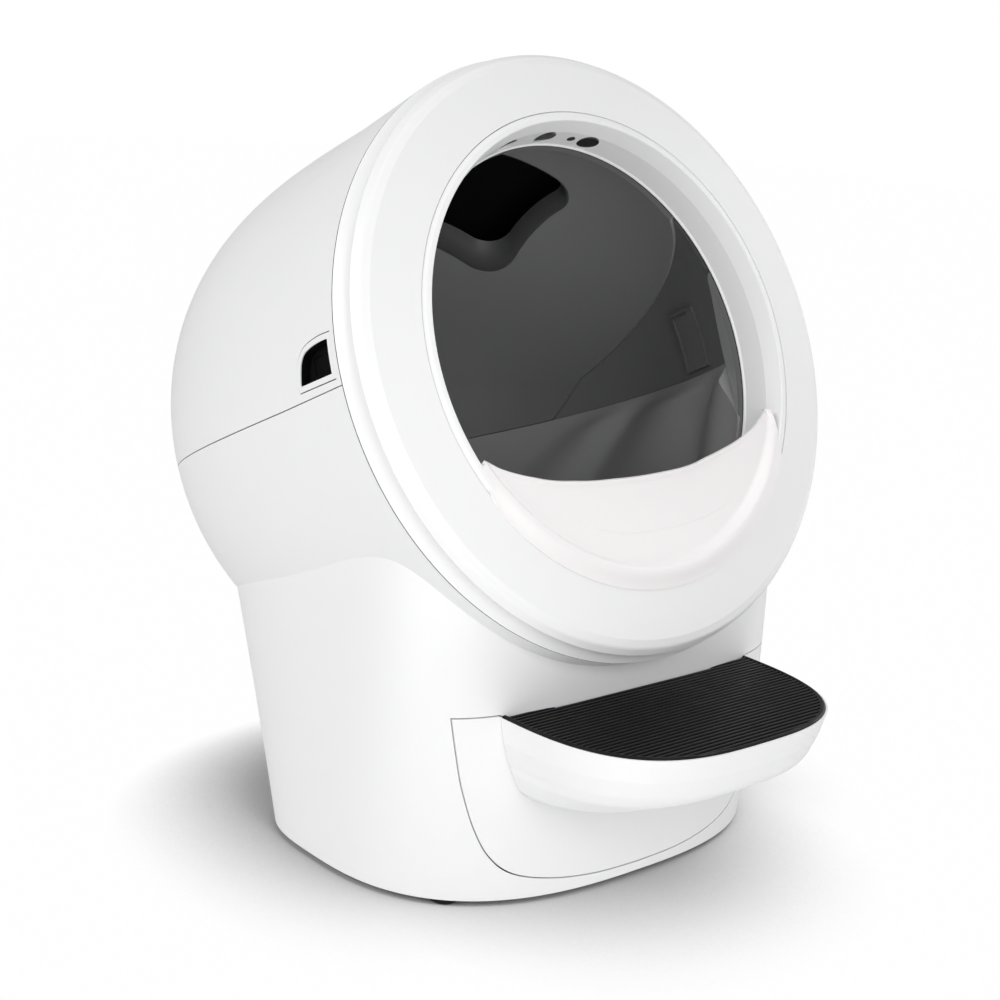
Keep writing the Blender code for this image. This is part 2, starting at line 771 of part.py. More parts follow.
def make_entry_ring(bezel):
    outer = GROOVE_RADIUS - GROOVE_WIDTH / 2
    profile = [
        (outer, GROOVE_FACE - GROOVE_WIDTH),
        (ENTRY_CREST_RADIUS, ENTRY_CREST),
        ((ENTRY_CREST_RADIUS + THROAT_FRONT_RADIUS) / 2, (ENTRY_CREST + THROAT_FRONT) / 2 + ENTRY_BULGE),
        (THROAT_FRONT_RADIUS, THROAT_FRONT),
        (THROAT_REAR_RADIUS, -THROAT_REAR),
        (THROAT_REAR_RADIUS + RING_WALL, -THROAT_REAR),
        (THROAT_FRONT_RADIUS + RING_WALL, THROAT_FRONT),
        (ENTRY_CREST_RADIUS + RING_WALL / 2, ENTRY_CREST - RING_WALL),
        (outer - RING_WALL, GROOVE_FACE - RING_WALL),
        (outer - RING_WALL, GROOVE_FACE - GROOVE_DEPTH),
        (outer, GROOVE_FACE - GROOVE_DEPTH),
    ]
    ring = turned(profile)
    for hole in sensor_rods(SEAT_GAP, THROAT_REAR_RADIUS - OVERRUN, THROAT_FRONT_RADIUS + OVERRUN / 2):
        ring = cut(ring, hole)
    part("entry_ring", ring, white_plastic(), bezel)


def make_back_plate(bezel):
    inner = throat_radius(-BARREL_FRONT + BACK_PLATE) + RING_WALL + SEAT_GAP
    taper = (BARREL_RADIUS - RIM_RADIUS) * BACK_PLATE / (BARREL_FRONT - RING_WALL)
    outer = BARREL_RADIUS - RING_WALL - taper - SEAT_GAP
    plate = turned([
        (inner, -BARREL_FRONT),
        (outer, -BARREL_FRONT),
        (outer, -BARREL_FRONT + BACK_PLATE),
        (inner, -BARREL_FRONT + BACK_PLATE),
    ])
    part("bezel_back_plate", plate, white_plastic(), bezel)


def make_sensors(bezel):
    low = throat_radius(-SENSOR_PLACE)
    for number, lens in enumerate(sensor_rods(0, low, low + SENSOR_DEPTH), 1):
        part(f"sensor_window_{number}", lens, black_plastic(), bezel)
    angle = (SENSOR_ANGLES[0] + SENSOR_ANGLES[-1]) / 2
    seat = throat_radius(-SENSOR_PLACE + SENSOR_BOARD_WIDTH / 2) + RING_WALL + SEAT_GAP
    board = box(
        (-SENSOR_BOARD_LENGTH / 2, seat, -SENSOR_PLACE - SENSOR_BOARD_WIDTH / 2),
        (SENSOR_BOARD_LENGTH / 2, seat + SENSOR_BOARD_THICKNESS, -SENSOR_PLACE + SENSOR_BOARD_WIDTH / 2),
    )
    part("sensor_board", moved(board, Matrix.Rotation(-angle, 4, "Z")), board_green(), bezel)


def make_fence(fence):
    plate_back = FENCE_PLATE_FRONT - FENCE_THICKNESS
    flange_back = ENTRY_CREST + SEAT_GAP
    rim = FENCE_RIM_RADIUS
    profile = [
        (FENCE_CENTRE_HOLE, FENCE_PLATE_FRONT),
        (rim - FENCE_THICKNESS * 2, FENCE_PLATE_FRONT),
        (rim, FENCE_FLANGE_FRONT),
        (ENTRY_CREST_RADIUS, FENCE_FLANGE_FRONT),
        (FENCE_FLANGE_RADIUS, GROOVE_FACE + FENCE_THICKNESS),
        (FENCE_FLANGE_RADIUS, GROOVE_FACE + SEAT_GAP),
        (GROOVE_RADIUS, GROOVE_FACE + SEAT_GAP),
        (ENTRY_CREST_RADIUS, flange_back),
        (rim + FENCE_THICKNESS, flange_back),
        (rim, plate_back),
        (FENCE_CENTRE_HOLE, plate_back),
    ]
    crescent = turned(profile)
    centre = FENCE_TOP_RADIUS - FENCE_TOP_DROP
    top = rod(FENCE_TOP_RADIUS, -OVERRUN, OVERRUN * 2, 0, centre, ROUND_STEPS * 2)
    part("litter_fence", cut(crescent, top), fence_plastic(), fence)


# Globe

def globe_stations(radius):
    """Corners of the globe's section from pole to pole. Every shell shares their angles."""
    angles = [math.pi * k / GLOBE_RINGS for k in range(1, GLOBE_RINGS)]
    middle = [(radius * math.sin(a), -GLOBE_CENTRE + radius * math.cos(a)) for a in angles]
    return [(0, radius - GLOBE_CENTRE)] + middle + [(0, -radius - GLOBE_CENTRE)]


def globe_arc(radius, front, back):
    """Part of the globe's section that lies between two depths."""
    points = []
    corners = globe_stations(radius)
    for (first, top), (last, low) in zip(corners, corners[1:]):
        start, end = min(top, -front), max(low, -back)
        if start <= end:
            continue
        slope = (last - first) / (low - top)
        if not points:
            points.append((first + slope * (start - top), start))
        points.append((last if end == low else first + slope * (end - top), end))
    return points


def globe_band(inner, outer, front, back):
    """Shell of the globe between two radii and two depths, or as far as the rear pole."""
    return turned(globe_arc(outer, front, back) + globe_arc(inner, front, back)[::-1])


def seam_block(above, offset):
    reach = BARREL_DEPTH + COLUMN_TOP_FRONT
    plane = -GLOBE_SEAM_OFFSET + offset
    if above:
        return box((-reach, plane, -reach), (reach, reach, reach))
    return box((-reach, -reach, -reach), (reach, plane, reach))


def port_block(inset):
    """Block with the port's outline in (x, place), from the globe's middle out through its top."""
    half = PORT_HALF_WIDTH - inset
    back, front = -PORT_BACK + inset, -PORT_FRONT - inset
    outline = rounded_rectangle(-half, half, back, front, PORT_CORNER - inset)
    reach = GLOBE_RADIUS + OVERRUN
    return grow([[(x, y, s) for x, s in outline] for y in (GLOBE_CENTRE / 2, reach)], True)


def make_globe_shells(globe):
    inner = GLOBE_RADIUS - GLOBE_WALL
    for above, name in ((True, "globe_upper"), (False, "globe_lower")):
        half = globe_band(inner, GLOBE_RADIUS, GLOBE_FRONT, BARREL_DEPTH)
        half = common(half, seam_block(above, SEAT_GAP / 2 if above else -SEAT_GAP / 2))
        if above:
            half = cut(half, port_block(-PORT_FRAME_MARGIN))
        part(name, half, dark_plastic(), globe)


def make_port_frame(globe):
    proud = GLOBE_RADIUS + PORT_FRAME_PROUD
    inner = GLOBE_RADIUS - GLOBE_WALL - LINER_THICKNESS - SEAT_GAP
    ring = common(globe_band(inner, proud, PORT_FRONT - OVERRUN, PORT_BACK + OVERRUN), port_block(0))
    part("port_frame", cut(ring, port_block(PORT_FRAME_WIDTH)), dark_plastic(), globe)


def panel_edge_block(side):
    """Space under the sloping plane that bounds the inner panel, on one side of the middle."""
    reach = BARREL_DEPTH * 2
    normal = Vector((side * PANEL_EDGE_SPREAD_SHARE, 1, -PANEL_EDGE_SLOPE_SHARE)).normalized()
    point = Vector((side * PANEL_EDGE_HALF_WIDTH, PANEL_EDGE_HEIGHT, -PANEL_EDGE_PLACE))
    block = box((-reach, -reach, -reach), (reach, reach, 0))
    turn = Vector((0, 0, 1)).rotation_difference(normal).to_matrix().to_4x4()
    ends = sorted((0, side * reach))
    half = box((ends[0], -reach, -reach), (ends[1], reach, reach))
    return common(half, moved(block, Matrix.Translation(point) @ turn))


def lining(extra, front, back):
    """Shell that lies against the inside of the globe's wall."""
    outer = GLOBE_RADIUS - GLOBE_WALL - SEAT_GAP
    return globe_band(outer - LINER_THICKNESS - extra, outer, front, back)


def make_inner_panel(globe):
    panel = cut(lining(0, COLLAR_FRONT, BARREL_DEPTH), panel_edge_block(1), panel_edge_block(-1))
    panel = cut(panel, port_block(-PORT_FRAME_MARGIN))
    part("inner_panel", panel, dark_plastic(), globe)


def make_liner(globe):
    liner = lining(0, COLLAR_BACK + RUNNING_GAP, BARREL_DEPTH)
    part("globe_liner", common(liner, seam_block(False, -RUNNING_GAP)), liner_rubber(), globe)


def make_collar(globe):
    """Light collar round the lower part of the entry, its two ends cut on a slant."""
    band = lining(0, COLLAR_FRONT, COLLAR_BACK)
    reach = BARREL_DEPTH
    slant = math.atan2(COLLAR_TOP - COLLAR_FRONT, COLLAR_BACK - COLLAR_FRONT) / 2
    block = box((-reach, 0, -reach), (reach, reach, reach))
    turn = Matrix.Translation((0, COLLAR_TOP, -COLLAR_FRONT)) @ Matrix.Rotation(slant, 4, "X")
    part("entry_collar", cut(band, moved(block, turn)), inner_plastic(), globe)


def make_tab(globe):
    tab = lining(SEAT_GAP, TAB_FRONT, TAB_BACK)
    reach = GLOBE_RADIUS * 2
    block = box((0, TAB_BOTTOM - GLOBE_SEAM_OFFSET, -reach), (reach, TAB_TOP, reach))
    part("globe_tab", common(tab, block), dark_plastic(), globe)


# Gears and tracks

def involute(angle):
    return math.tan(angle) - angle


def tooth_half_angle(radius, teeth):
    """Half of a tooth's angle at a radius, on involute flanks thinned by the backlash."""
    pitch = GEAR_MODULE * teeth / 2
    base = pitch * math.cos(PRESSURE_ANGLE)
    thick = (math.pi * GEAR_MODULE / 2 - BACKLASH / 2) / (2 * pitch)
    at = math.acos(min(base / radius, 1)) if radius > base else 0
    return thick + involute(PRESSURE_ANGLE) - involute(at)


def gear_outline(teeth, start, flank_shares):
    """Gear's outline with a tooth centred on the start angle."""
    pitch = GEAR_MODULE * teeth / 2
    low, high = pitch - DEDENDUM_SHARE * GEAR_MODULE, pitch + ADDENDUM_SHARE * GEAR_MODULE
    radii = [low + (high - low) * share for share in flank_shares]
    points = []
    for k in range(teeth):
        middle = start + 2 * math.pi * k / teeth
        flank = [(r, tooth_half_angle(r, teeth)) for r in radii]
        for r, half in flank:
            points.append((r * math.cos(middle - half), r * math.sin(middle - half)))
        for r, half in reversed(flank):
            points.append((r * math.cos(middle + half), r * math.sin(middle + half)))
    return points


def loop_verts(bm, outline, place):
    return [bm.verts.new((x, y, place)) for x, y in outline]


def wall(bm, low, high):
    for k in range(len(low)):
        n = (k + 1) % len(low)
        bm.faces.new((low[k], low[n], high[n], high[k]))


def web(bm, first, second):
    """Flat ring of triangles between two loops in one plane."""
    edges = []
    for loop in (first, second):
        for k in range(len(loop)):
            n = (k + 1) % len(loop)
            edges.append(bm.edges.get((loop[k], loop[n])) or bm.edges.new((loop[k], loop[n])))
    bmesh.ops.triangle_fill(bm, edges=edges, use_beauty=True, use_dissolve=False)


def pinion_centre():
    distance = GEAR_MODULE * (RING_TEETH + PINION_TEETH) / 2
    return Vector((distance * math.cos(PINION_ANGLE), distance * math.sin(PINION_ANGLE), 0))


def make_ring_gear(globe):
    """Toothed ring with a smooth rail in front, bored to the globe's own curve."""
    bm = bmesh.new()
    front = -GEAR_FRONT + RAIL_WIDTH
    back = -GEAR_FRONT - GEAR_WIDTH
    teeth = gear_outline(RING_TEETH, PINION_ANGLE, RING_FLANK_SHARES)
    toothed = [loop_verts(bm, teeth, place) for place in (-GEAR_FRONT, back)]
    rail = [loop_verts(bm, circle(RAIL_RADIUS, ROUND_STEPS), place) for place in (front, -GEAR_FRONT)]
    bore = globe_arc(GLOBE_RADIUS + SEAT_GAP, -front, -back)
    bores = [loop_verts(bm, circle(radius, ROUND_STEPS), place) for radius, place in bore]
    for loops in (toothed, rail, bores):
        for first, second in zip(loops, loops[1:]):
            wall(bm, first, second)
    web(bm, toothed[0], rail[-1])
    web(bm, toothed[-1], bores[-1])
    web(bm, rail[0], bores[0])
    part("ring_gear", face_out(bm), black_plastic(), globe)


def rear_track_seat():
    return globe_arc(GLOBE_RADIUS + SEAT_GAP, REAR_TRACK_FRONT, REAR_TRACK_FRONT + REAR_TRACK_WIDTH)


def rear_track_radius():
    return rear_track_seat()[0][0] + REAR_TRACK_HEIGHT


def make_rear_track(globe):
    seat = rear_track_seat()
    profile = seat + [(rear_track_radius(), seat[-1][1]), (rear_track_radius(), seat[0][1])]
    part("rear_track", turned(profile), black_plastic(), globe)


def make_pinion(pinion):
    start = PINION_ANGLE + math.pi + math.pi / PINION_TEETH
    outline = gear_outline(PINION_TEETH, start, PINION_FLANK_SHARES)
    gear = prism(outline, -GEAR_FRONT - GEAR_WIDTH, -GEAR_FRONT - SEAT_GAP)
    shaft = rod(SHAFT_RADIUS, -GEAR_FRONT - GEAR_WIDTH - SHAFT_REACH, -GEAR_FRONT - SEAT_GAP + SHAFT_NOSE)
    part("drive_pinion", fused(gear, shaft), steel(), pinion)


# Rollers, stands and drive

def roller_stations():
    """Name, sideways angle, track radius, front place of the roller, for all four rollers."""
    front = GEAR_FRONT - RAIL_WIDTH + SEAT_GAP
    for side, word in ((-1, "left"), (1, "right")):
        yield "front_" + word, side * ROLLER_SPREAD, RAIL_RADIUS, front
        yield "rear_" + word, side * ROLLER_SPREAD, rear_track_radius(), REAR_TRACK_FRONT + SEAT_GAP


def roller_centre(angle, track):
    distance = track + SEAT_GAP + ROLLER_RADIUS
    return Vector((distance * math.sin(angle), -distance * math.cos(angle), 0))


def make_roller(name, place, parent):
    back = -place - ROLLER_WIDTH
    profile = [
        (ROLLER_BORE, -place),
        (ROLLER_RADIUS, -place),
        (ROLLER_RADIUS, back),
        (ROLLER_BORE, back),
    ]
    part("roller_" + name, turned(profile, ROLLER_STEPS), inner_plastic(), parent)


def deck_height(place):
    """Height across the axis at which a plate square to it is well under the deck's top."""
    return (DECK_LOW - RING_HEIGHT - place * math.sin(TILT)) / math.cos(TILT)


def seated(bm):
    """Cuts a piece off flat just over the deck."""
    reach = BARREL_DEPTH
    return cut(bm, box((-reach, -reach, 0), (reach, reach, DECK_LOW + DECK_THICKNESS + SEAT_GAP)))


def stand_outline(arc, low):
    """Plate with a hollow round top that follows the globe."""
    points = [(-STAND_HALF_WIDTH, low), (STAND_HALF_WIDTH, low)]
    reach = math.asin(min(STAND_HALF_WIDTH / arc, 1)) * STAND_ARC_SHARE
    shoulder = -arc * math.cos(reach)
    points.append((STAND_HALF_WIDTH, shoulder))
    for k in range(STAND_ARC_STEPS + 1):
        angle = reach * (1 - 2 * k / STAND_ARC_STEPS)
        points.append((arc * math.sin(angle), -arc * math.cos(angle)))
    points.append((-STAND_HALF_WIDTH, shoulder))
    return points


def make_stand(name, arc, face, pins_back, track, pin_length, base):
    """Roller stand: a plate whose pins point backwards or forwards into the rollers."""
    front, back = face, face - STAND_THICKNESS
    low = deck_height(front)
    stand = prism(stand_outline(arc, low), back, front)
    for side in (-1, 1):
        centre = roller_centre(side * ROLLER_SPREAD, track)
        start = back - pin_length if pins_back else back
        end = front if pins_back else front + pin_length
        stand = fused(stand, rod(PIN_RADIUS, start, end, centre.x, centre.y, PIN_STEPS))
    part(name, seated(moved(stand, GLOBE_FRAME)), inner_plastic(), base)


def make_stands(base):
    pin = ROLLER_WIDTH + SEAT_GAP * 3
    front = -GEAR_FRONT + RAIL_WIDTH + STAND_THICKNESS + SEAT_GAP
    make_stand("front_roller_stand", MAGNET_PLACE + STAND_THICKNESS, front, True, RAIL_RADIUS, pin, base)
    rear = -REAR_TRACK_FRONT - REAR_TRACK_WIDTH - SEAT_GAP
    track = rear_track_radius()
    make_stand("rear_roller_stand", track - STAND_THICKNESS, rear, False, track, pin + SEAT_GAP, base)


def make_drive(base):
    centre = pinion_centre()
    mount_front = -GEAR_FRONT - GEAR_WIDTH - MOUNT_GAP
    mount_back = mount_front - MOUNT_THICKNESS
    low = deck_height(mount_front)
    half = MOUNT_HALF_WIDTH
    mount = box((centre.x - half, low, mount_back), (centre.x + half, centre.y + MOUNT_TOP, mount_front))
    hole = rod(SHAFT_RADIUS + RUNNING_GAP, mount_back - OVERRUN, mount_front + OVERRUN, centre.x, centre.y)
    mount = cut(mount, hole)
    mount = cut(mount, turned(globe_stations(GLOBE_RADIUS + PORT_FRAME_PROUD + SEAL_CLEARANCE)))
    part("motor_mount", seated(moved(mount, GLOBE_FRAME)), steel(), base)
    face = mount_back - SEAT_GAP
    profile = [
        (0, face - OVERRUN),
        (SHAFT_RADIUS + RUNNING_GAP, face - OVERRUN),
        (SHAFT_RADIUS + RUNNING_GAP, face),
        (GEARBOX_RADIUS, face),
        (GEARBOX_RADIUS, face - GEARBOX_LENGTH),
        (MOTOR_RADIUS, face - GEARBOX_LENGTH),
        (MOTOR_RADIUS, face - MOTOR_LENGTH),
        (0, face - MOTOR_LENGTH),
    ]
    motor = turned(profile, ROLLER_STEPS)
    part("gear_motor", moved(motor, GLOBE_FRAME @ Matrix.Translation(centre)), steel(), base)


def chute_outline(inset):
    front, back = RING_Y + CHUTE_FRONT + inset, RING_Y + CHUTE_BACK - inset
    half = CHUTE_HALF_WIDTH - inset
    return rounded_rectangle(-half, half, front, back, CHUTE_CORNER - inset)


def globe_sweep(extra):
    return moved(turned(globe_stations(GLOBE_RADIUS + extra)), GLOBE_FRAME)


def slab_of_column(low, high):
    """Plate that fills the column's inside between two heights."""
    reach = BARREL_DEPTH
    return common(column_solid(WALL + SEAT_GAP, 0), box((-reach, -reach, low), (reach, reach, high)))


def make_deck(base):
    top = DECK_LOW + DECK_THICKNESS
    deck = slab_of_column(DECK_LOW, top)
    pocket = common(column_solid(0, 0), drawer_block(-PANEL_GAP, 0))
    deck = cut(deck, cut(pocket, column_solid(DRAWER_PANEL + PANEL_GAP, -OVERRUN)))
    collar = prism(chute_outline(-CHUTE_WALL), DECK_LOW + DECK_THICKNESS / 2, CHUTE_TOP)
    deck = fused(deck, cut(collar, globe_sweep(CHUTE_CLEARANCE)))
    deck = cut(deck, prism(chute_outline(0), DECK_LOW - OVERRUN, CHUTE_TOP + OVERRUN))
    part("deck", deck, inner_plastic(), base)
    low = DECK_LOW + DECK_THICKNESS / 2
    seal = prism(chute_outline(SEAT_GAP), low, CHUTE_TOP)
    seal = cut(seal, prism(chute_outline(SEAT_GAP + SEAL_WALL), low - OVERRUN, CHUTE_TOP + OVERRUN))
    part("chute_seal", cut(seal, globe_sweep(PORT_FRAME_PROUD + SEAL_CLEARANCE)), seal_foam(), base)


def make_position_sensor(globe, base):
    front = -GEAR_FRONT + RAIL_WIDTH + SEAT_GAP
    magnet = rod(MAGNET_RADIUS, front, front + MAGNET_THICKNESS, 0, -MAGNET_PLACE, PIN_STEPS)
    part("home_magnet", magnet, steel(), globe)
    face = -GEAR_FRONT + RAIL_WIDTH + STAND_THICKNESS + SEAT_GAP
    seat = -(MAGNET_PLACE + STAND_THICKNESS) + SEAT_GAP
    sensor = box((-HALL_SIZE / 2, seat, face - HALL_DEPTH), (HALL_SIZE / 2, seat + HALL_HEIGHT, face))
    part("position_sensor", moved(sensor, GLOBE_FRAME), black_plastic(), base)


# Control panel

def panel_frame():
    """Frame whose +X points out through the panel, in the globe's frame."""
    return Matrix.Rotation(PANEL_ANGLE, 4, "Z")


def panel_face():
    """Distance of the panel's face from the axis, just under the barrel's surface."""
    return barrel_radius((PANEL_FRONT + PANEL_BACK) / 2) - PANEL_SINK


def panel_block(margin, depth):
    half = PANEL_HALF_HEIGHT + margin
    low = panel_face() - max(PANEL_THICKNESS, depth)
    high = panel_face() + depth
    block = box((low, -half, -PANEL_BACK - margin), (high, half, -PANEL_FRONT + margin))
    return moved(block, panel_frame())


def button_place(number):
    middle = -(PANEL_FRONT + PANEL_BACK) / 2
    return middle + (number - (BUTTON_COUNT - 1) / 2) * BUTTON_PITCH


def button_rod(number, radius, low, high):
    turn = Matrix.Translation((0, 0, button_place(number))) @ Matrix.Rotation(math.pi / 2, 4, "Y")
    return moved(rod(radius, low, high), panel_frame() @ turn)


def make_panel(base, buttons):
    panel = panel_block(0, 0)
    for number in range(BUTTON_COUNT):
        hole = button_rod(number, BUTTON_RADIUS + SEAT_GAP, panel_face() - OVERRUN, panel_face() + OVERRUN)
        panel = cut(panel, hole)
    part("control_panel", moved(panel, GLOBE_FRAME), black_plastic(), base)
    face = panel_face() + BUTTON_PROUD
    for number, parent in enumerate(buttons):
        button = button_rod(number, BUTTON_RADIUS, face - BUTTON_LENGTH, face)
        part(f"panel_button_{number + 1}", button, inner_plastic(), parent)


# Bottom plate, feet, board and inlet

def make_floor_parts(base):
    part("bottom_plate", slab_of_column(PLATE_LOW, PLATE_LOW + PLATE_THICKNESS), white_plastic(), base)
    for word, (x, y) in (("front", FRONT_FOOT), ("rear", REAR_FOOT)):
        for side, hand in ((-1, "left"), (1, "right")):
            foot = rod(FOOT_RADIUS, 0, PLATE_LOW - SEAT_GAP, side * x, RING_Y + y)
            part(f"foot_{word}_{hand}", foot, mat_rubber(), base)


def make_board(base):
    low = PLATE_LOW + PLATE_THICKNESS + SEAT_GAP
    y = RING_Y + BOARD_PLACE
    board = box((-BOARD_HALF_WIDTH, y, low), (BOARD_HALF_WIDTH, y + BOARD_THICKNESS, low + BOARD_HEIGHT))
    for x, z, size, depth in BOARD_PARTS:
        chip = box((x, y - depth, low + z), (x + size, y + BOARD_THICKNESS / 2, low + z + size))
        board = fused(board, chip)
    part("control_board", board, board_green(), base)


def rear_wall(height):
    """Where the column's rear wall stands at a height, over the inlet."""
    rear = mix(COLUMN_REAR_LOW, COLUMN_REAR_HIGH, height)
    half = mix(COLUMN_HALF_WIDTH_LOW, COLUMN_HALF_WIDTH_HIGH, height)
    share = (1 - (INLET_PLACE / half) ** REAR_ROUNDING) ** (1 / REAR_ROUNDING)
    return RING_Y + COLUMN_CENTRE + rear * share


def inlet_rod(radius, end, start=-INLET_DEPTH):
    """Rod that points out of the rear wall, measured from the wall's outside."""
    place = Matrix.Translation((INLET_PLACE, rear_wall(INLET_HEIGHT), INLET_HEIGHT))
    return moved(rod(radius, start, end), place @ Matrix.Rotation(-math.pi / 2, 4, "X"))


def make_inlet(base):
    """Round power socket set in the rear wall, with its flange inside."""
    socket = inlet_rod(INLET_RADIUS, 0)
    flange_at = rear_wall(INLET_HEIGHT - INLET_FLANGE) - rear_wall(INLET_HEIGHT) - INLET_FLANGE_SEAT
    flange = inlet_rod(INLET_FLANGE, flange_at, flange_at - INLET_FLANGE_THICKNESS)
    bore = inlet_rod(INLET_BORE, OVERRUN, WALL - INLET_DEPTH)
    part("power_inlet", cut(fused(socket, flange), bore), black_plastic(), base)


# Drawer with its step

def make_drawer_front(drawer):
    panel = common(column_solid(0, 0), drawer_block(SEAT_GAP, 0))
    panel = cut(panel, column_solid(DRAWER_PANEL, -OVERRUN))
    part("drawer_front", panel, white_plastic(), drawer)


def tray_block(inset, front_inset, top, back):
    block = drawn_back(tray_outline(inset, top), RING_Y - STEP_FRONT, RING_Y + back)
    return common(block, column_solid(front_inset, -OVERRUN))


def make_tray(drawer):
    outside = DRAWER_PANEL + SEAT_GAP
    tray = tray_block(0, outside, TRAY_TOP, DRAWER_REAR)
    tray = cut(tray, tray_block(TRAY_WALL, outside + TRAY_WALL, TRAY_TOP + OVERRUN, DRAWER_REAR - TRAY_WALL))
    part("drawer_tray", tray, inner_plastic(), drawer)


def make_bag_frame(drawer):
    low = TRAY_TOP + SEAT_GAP
    high = low + BAG_FRAME_HEIGHT
    inset = DRAWER_PANEL + SEAT_GAP
    half = TRAY_HALF_WIDTH_TOP
    frame = box((-half, RING_Y - STEP_FRONT, low), (half, RING_Y + DRAWER_REAR, high))
    frame = common(frame, column_solid(inset, -OVERRUN))
    hole = BAG_FRAME_WIDTH
    rear = RING_Y + DRAWER_REAR - hole
    core = box((hole - half, RING_Y - STEP_FRONT, low - OVERRUN), (half - hole, rear, high + OVERRUN))
    core = common(core, column_solid(inset + hole, -OVERRUN))
    part("bag_frame", cut(frame, core), dark_plastic(), drawer)


def make_filter(drawer):
    inset = DRAWER_PANEL + TRAY_WALL + SEAT_GAP * 2
    floor = TRAY_BOTTOM + TRAY_WALL + SEAT_GAP
    front = RING_Y + COLUMN_CENTRE - mix(COLUMN_FRONT_LOW, COLUMN_FRONT_HIGH, floor + FILTER_HEIGHT)
    back = front + inset + FILTER_DEPTH
    half = FILTER_HALF_WIDTH
    case = box((-half, RING_Y - STEP_FRONT, floor), (half, back, floor + FILTER_HEIGHT))
    case = common(case, column_solid(inset, -OVERRUN))
    pitch = FILTER_HEIGHT / (FILTER_SLOTS * 2 + 1)
    half = half * FILTER_SLOT_SHARE
    for k in range(FILTER_SLOTS):
        low = floor + (k * 2 + 1) * pitch
        case = cut(case, box((-half, back - WALL, low), (half, back + OVERRUN, low + pitch)))
    part("filter_case", case, dark_plastic(), drawer)


def make_rails(base):
    low = PLATE_LOW + PLATE_THICKNESS + SEAT_GAP
    for side, word in ((-1, "left"), (1, "right")):
        ends = sorted((side * RAIL_PLACE, side * (RAIL_PLACE + DRAWER_RAIL_WIDTH)))
        corner = (ends[1], RING_Y + DRAWER_REAR, TRAY_BOTTOM - SEAT_GAP)
        rail = box((ends[0], RING_Y + DRAWER_RAIL_FRONT, low), corner)
        part("drawer_rail_" + word, rail, inner_plastic(), base)


def step_block(inset, lift, top, back):
    """Step's block up to a height, its walls drawn in and its floor lifted."""
    left = STEP_CREASE_INSET * (STEP_TOP - top) / (STEP_TOP - STEP_CREASE)
    levels = [(STEP_FLOOR + lift, STEP_FLOOR_HALF_WIDTH, STEP_FLOOR_REACH)]
    for z, drawn_in in ((STEP_EDGE + lift, STEP_EDGE_INSET), (STEP_CREASE, STEP_CREASE_INSET), (top, left)):
        levels.append((z, STEP_HALF_WIDTH - drawn_in * STEP_SIDE_SHARE, STEP_REACH - drawn_in))
    rings = []
    for z, half, reach in levels:
        rings.append([(x, y, z) for x, y in step_outline(half - inset, reach - inset, back)])
    return grow(rings, True)


def make_step(drawer):
    seat = STEP_TOP + MAT_PROUD - MAT_THICKNESS - SEAT_GAP
    recess = step_outline(STEP_HALF_WIDTH - MAT_INSET, STEP_REACH - MAT_INSET, STEP_BACK + OVERRUN)
    body = step_block(0, 0, STEP_TOP, STEP_BACK)
    body = cut(body, prism(recess, seat, STEP_TOP + OVERRUN))
    body = cut(body, step_block(STEP_WALL, STEP_WALL, seat - STEP_WALL, STEP_BACK + OVERRUN))
    body = cut(body, column_solid(-SEAT_GAP, -OVERRUN))
    part("step_body", body, white_plastic(), drawer)


def make_mat(drawer):
    inset = MAT_INSET + RUNNING_GAP
    outline = step_outline(STEP_HALF_WIDTH - inset, STEP_REACH - inset, STEP_BACK)
    top = STEP_TOP + MAT_PROUD
    mat = cut(prism(outline, top - MAT_THICKNESS, top), column_solid(-PANEL_GAP, -OVERRUN))
    part("step_mat", mat, mat_rubber(), drawer)


# The whole object

def axis_frame(matrix):
    return GLOBE_FRAME @ matrix


def build():
    clear_scene()
    base = frame_empty("base", Matrix.Identity(4))
    globe = frame_empty("globe_axis", GLOBE_FRAME, base)
    bonnet = frame_empty("bonnet_lift", GLOBE_FRAME, base)
    bezel = frame_empty("bezel_pull", GLOBE_FRAME, base)
    fence = frame_empty("fence_pull", GLOBE_FRAME, bezel)
    drawer = frame_empty("drawer_slide", Matrix.Identity(4), base)
    pinion = frame_empty("pinion_axis", axis_frame(Matrix.Translation(pinion_centre())), base)
    latches = [frame_empty("latch_push_" + word, GLOBE_FRAME, bonnet) for word in ("right", "left")]
    buttons = [frame_empty(f"button_push_{k + 1}", GLOBE_FRAME, base) for k in range(BUTTON_COUNT)]
    make_base_shell(base)
    make_floor_parts(base)
    make_deck(base)
    make_stands(base)
    make_drive(base)
    make_position_sensor(globe, base)
    make_board(base)
    make_inlet(base)
    make_rails(base)
    make_panel(base, buttons)
    make_bonnet(bonnet)
    make_latch(1, "right", bonnet, latches[0])
    make_latch(-1, "left", bonnet, latches[1])
    make_bezel_ring(bezel)
    make_entry_ring(bezel)
    make_back_plate(bezel)
    make_sensors(bezel)
    make_fence(fence)
    make_globe_shells(globe)
    make_port_frame(globe)
    make_inner_panel(globe)
    make_liner(globe)
    make_collar(globe)
    make_tab(globe)
    make_ring_gear(globe)
    make_rear_track(globe)
    make_pinion(pinion)
    for name, angle, track, place in roller_stations():
        axis = frame_empty("axis_" + name, axis_frame(Matrix.Translation(roller_centre(angle, track))), base)
        make_roller(name, place, axis)
    make_drawer_front(drawer)
    make_tray(drawer)
    make_bag_frame(drawer)
    make_filter(drawer)
    make_step(drawer)
    make_mat(drawer)


build()
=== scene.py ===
import json
import math

import bmesh
import bpy
import numpy as np
from mathutils import Matrix, Vector


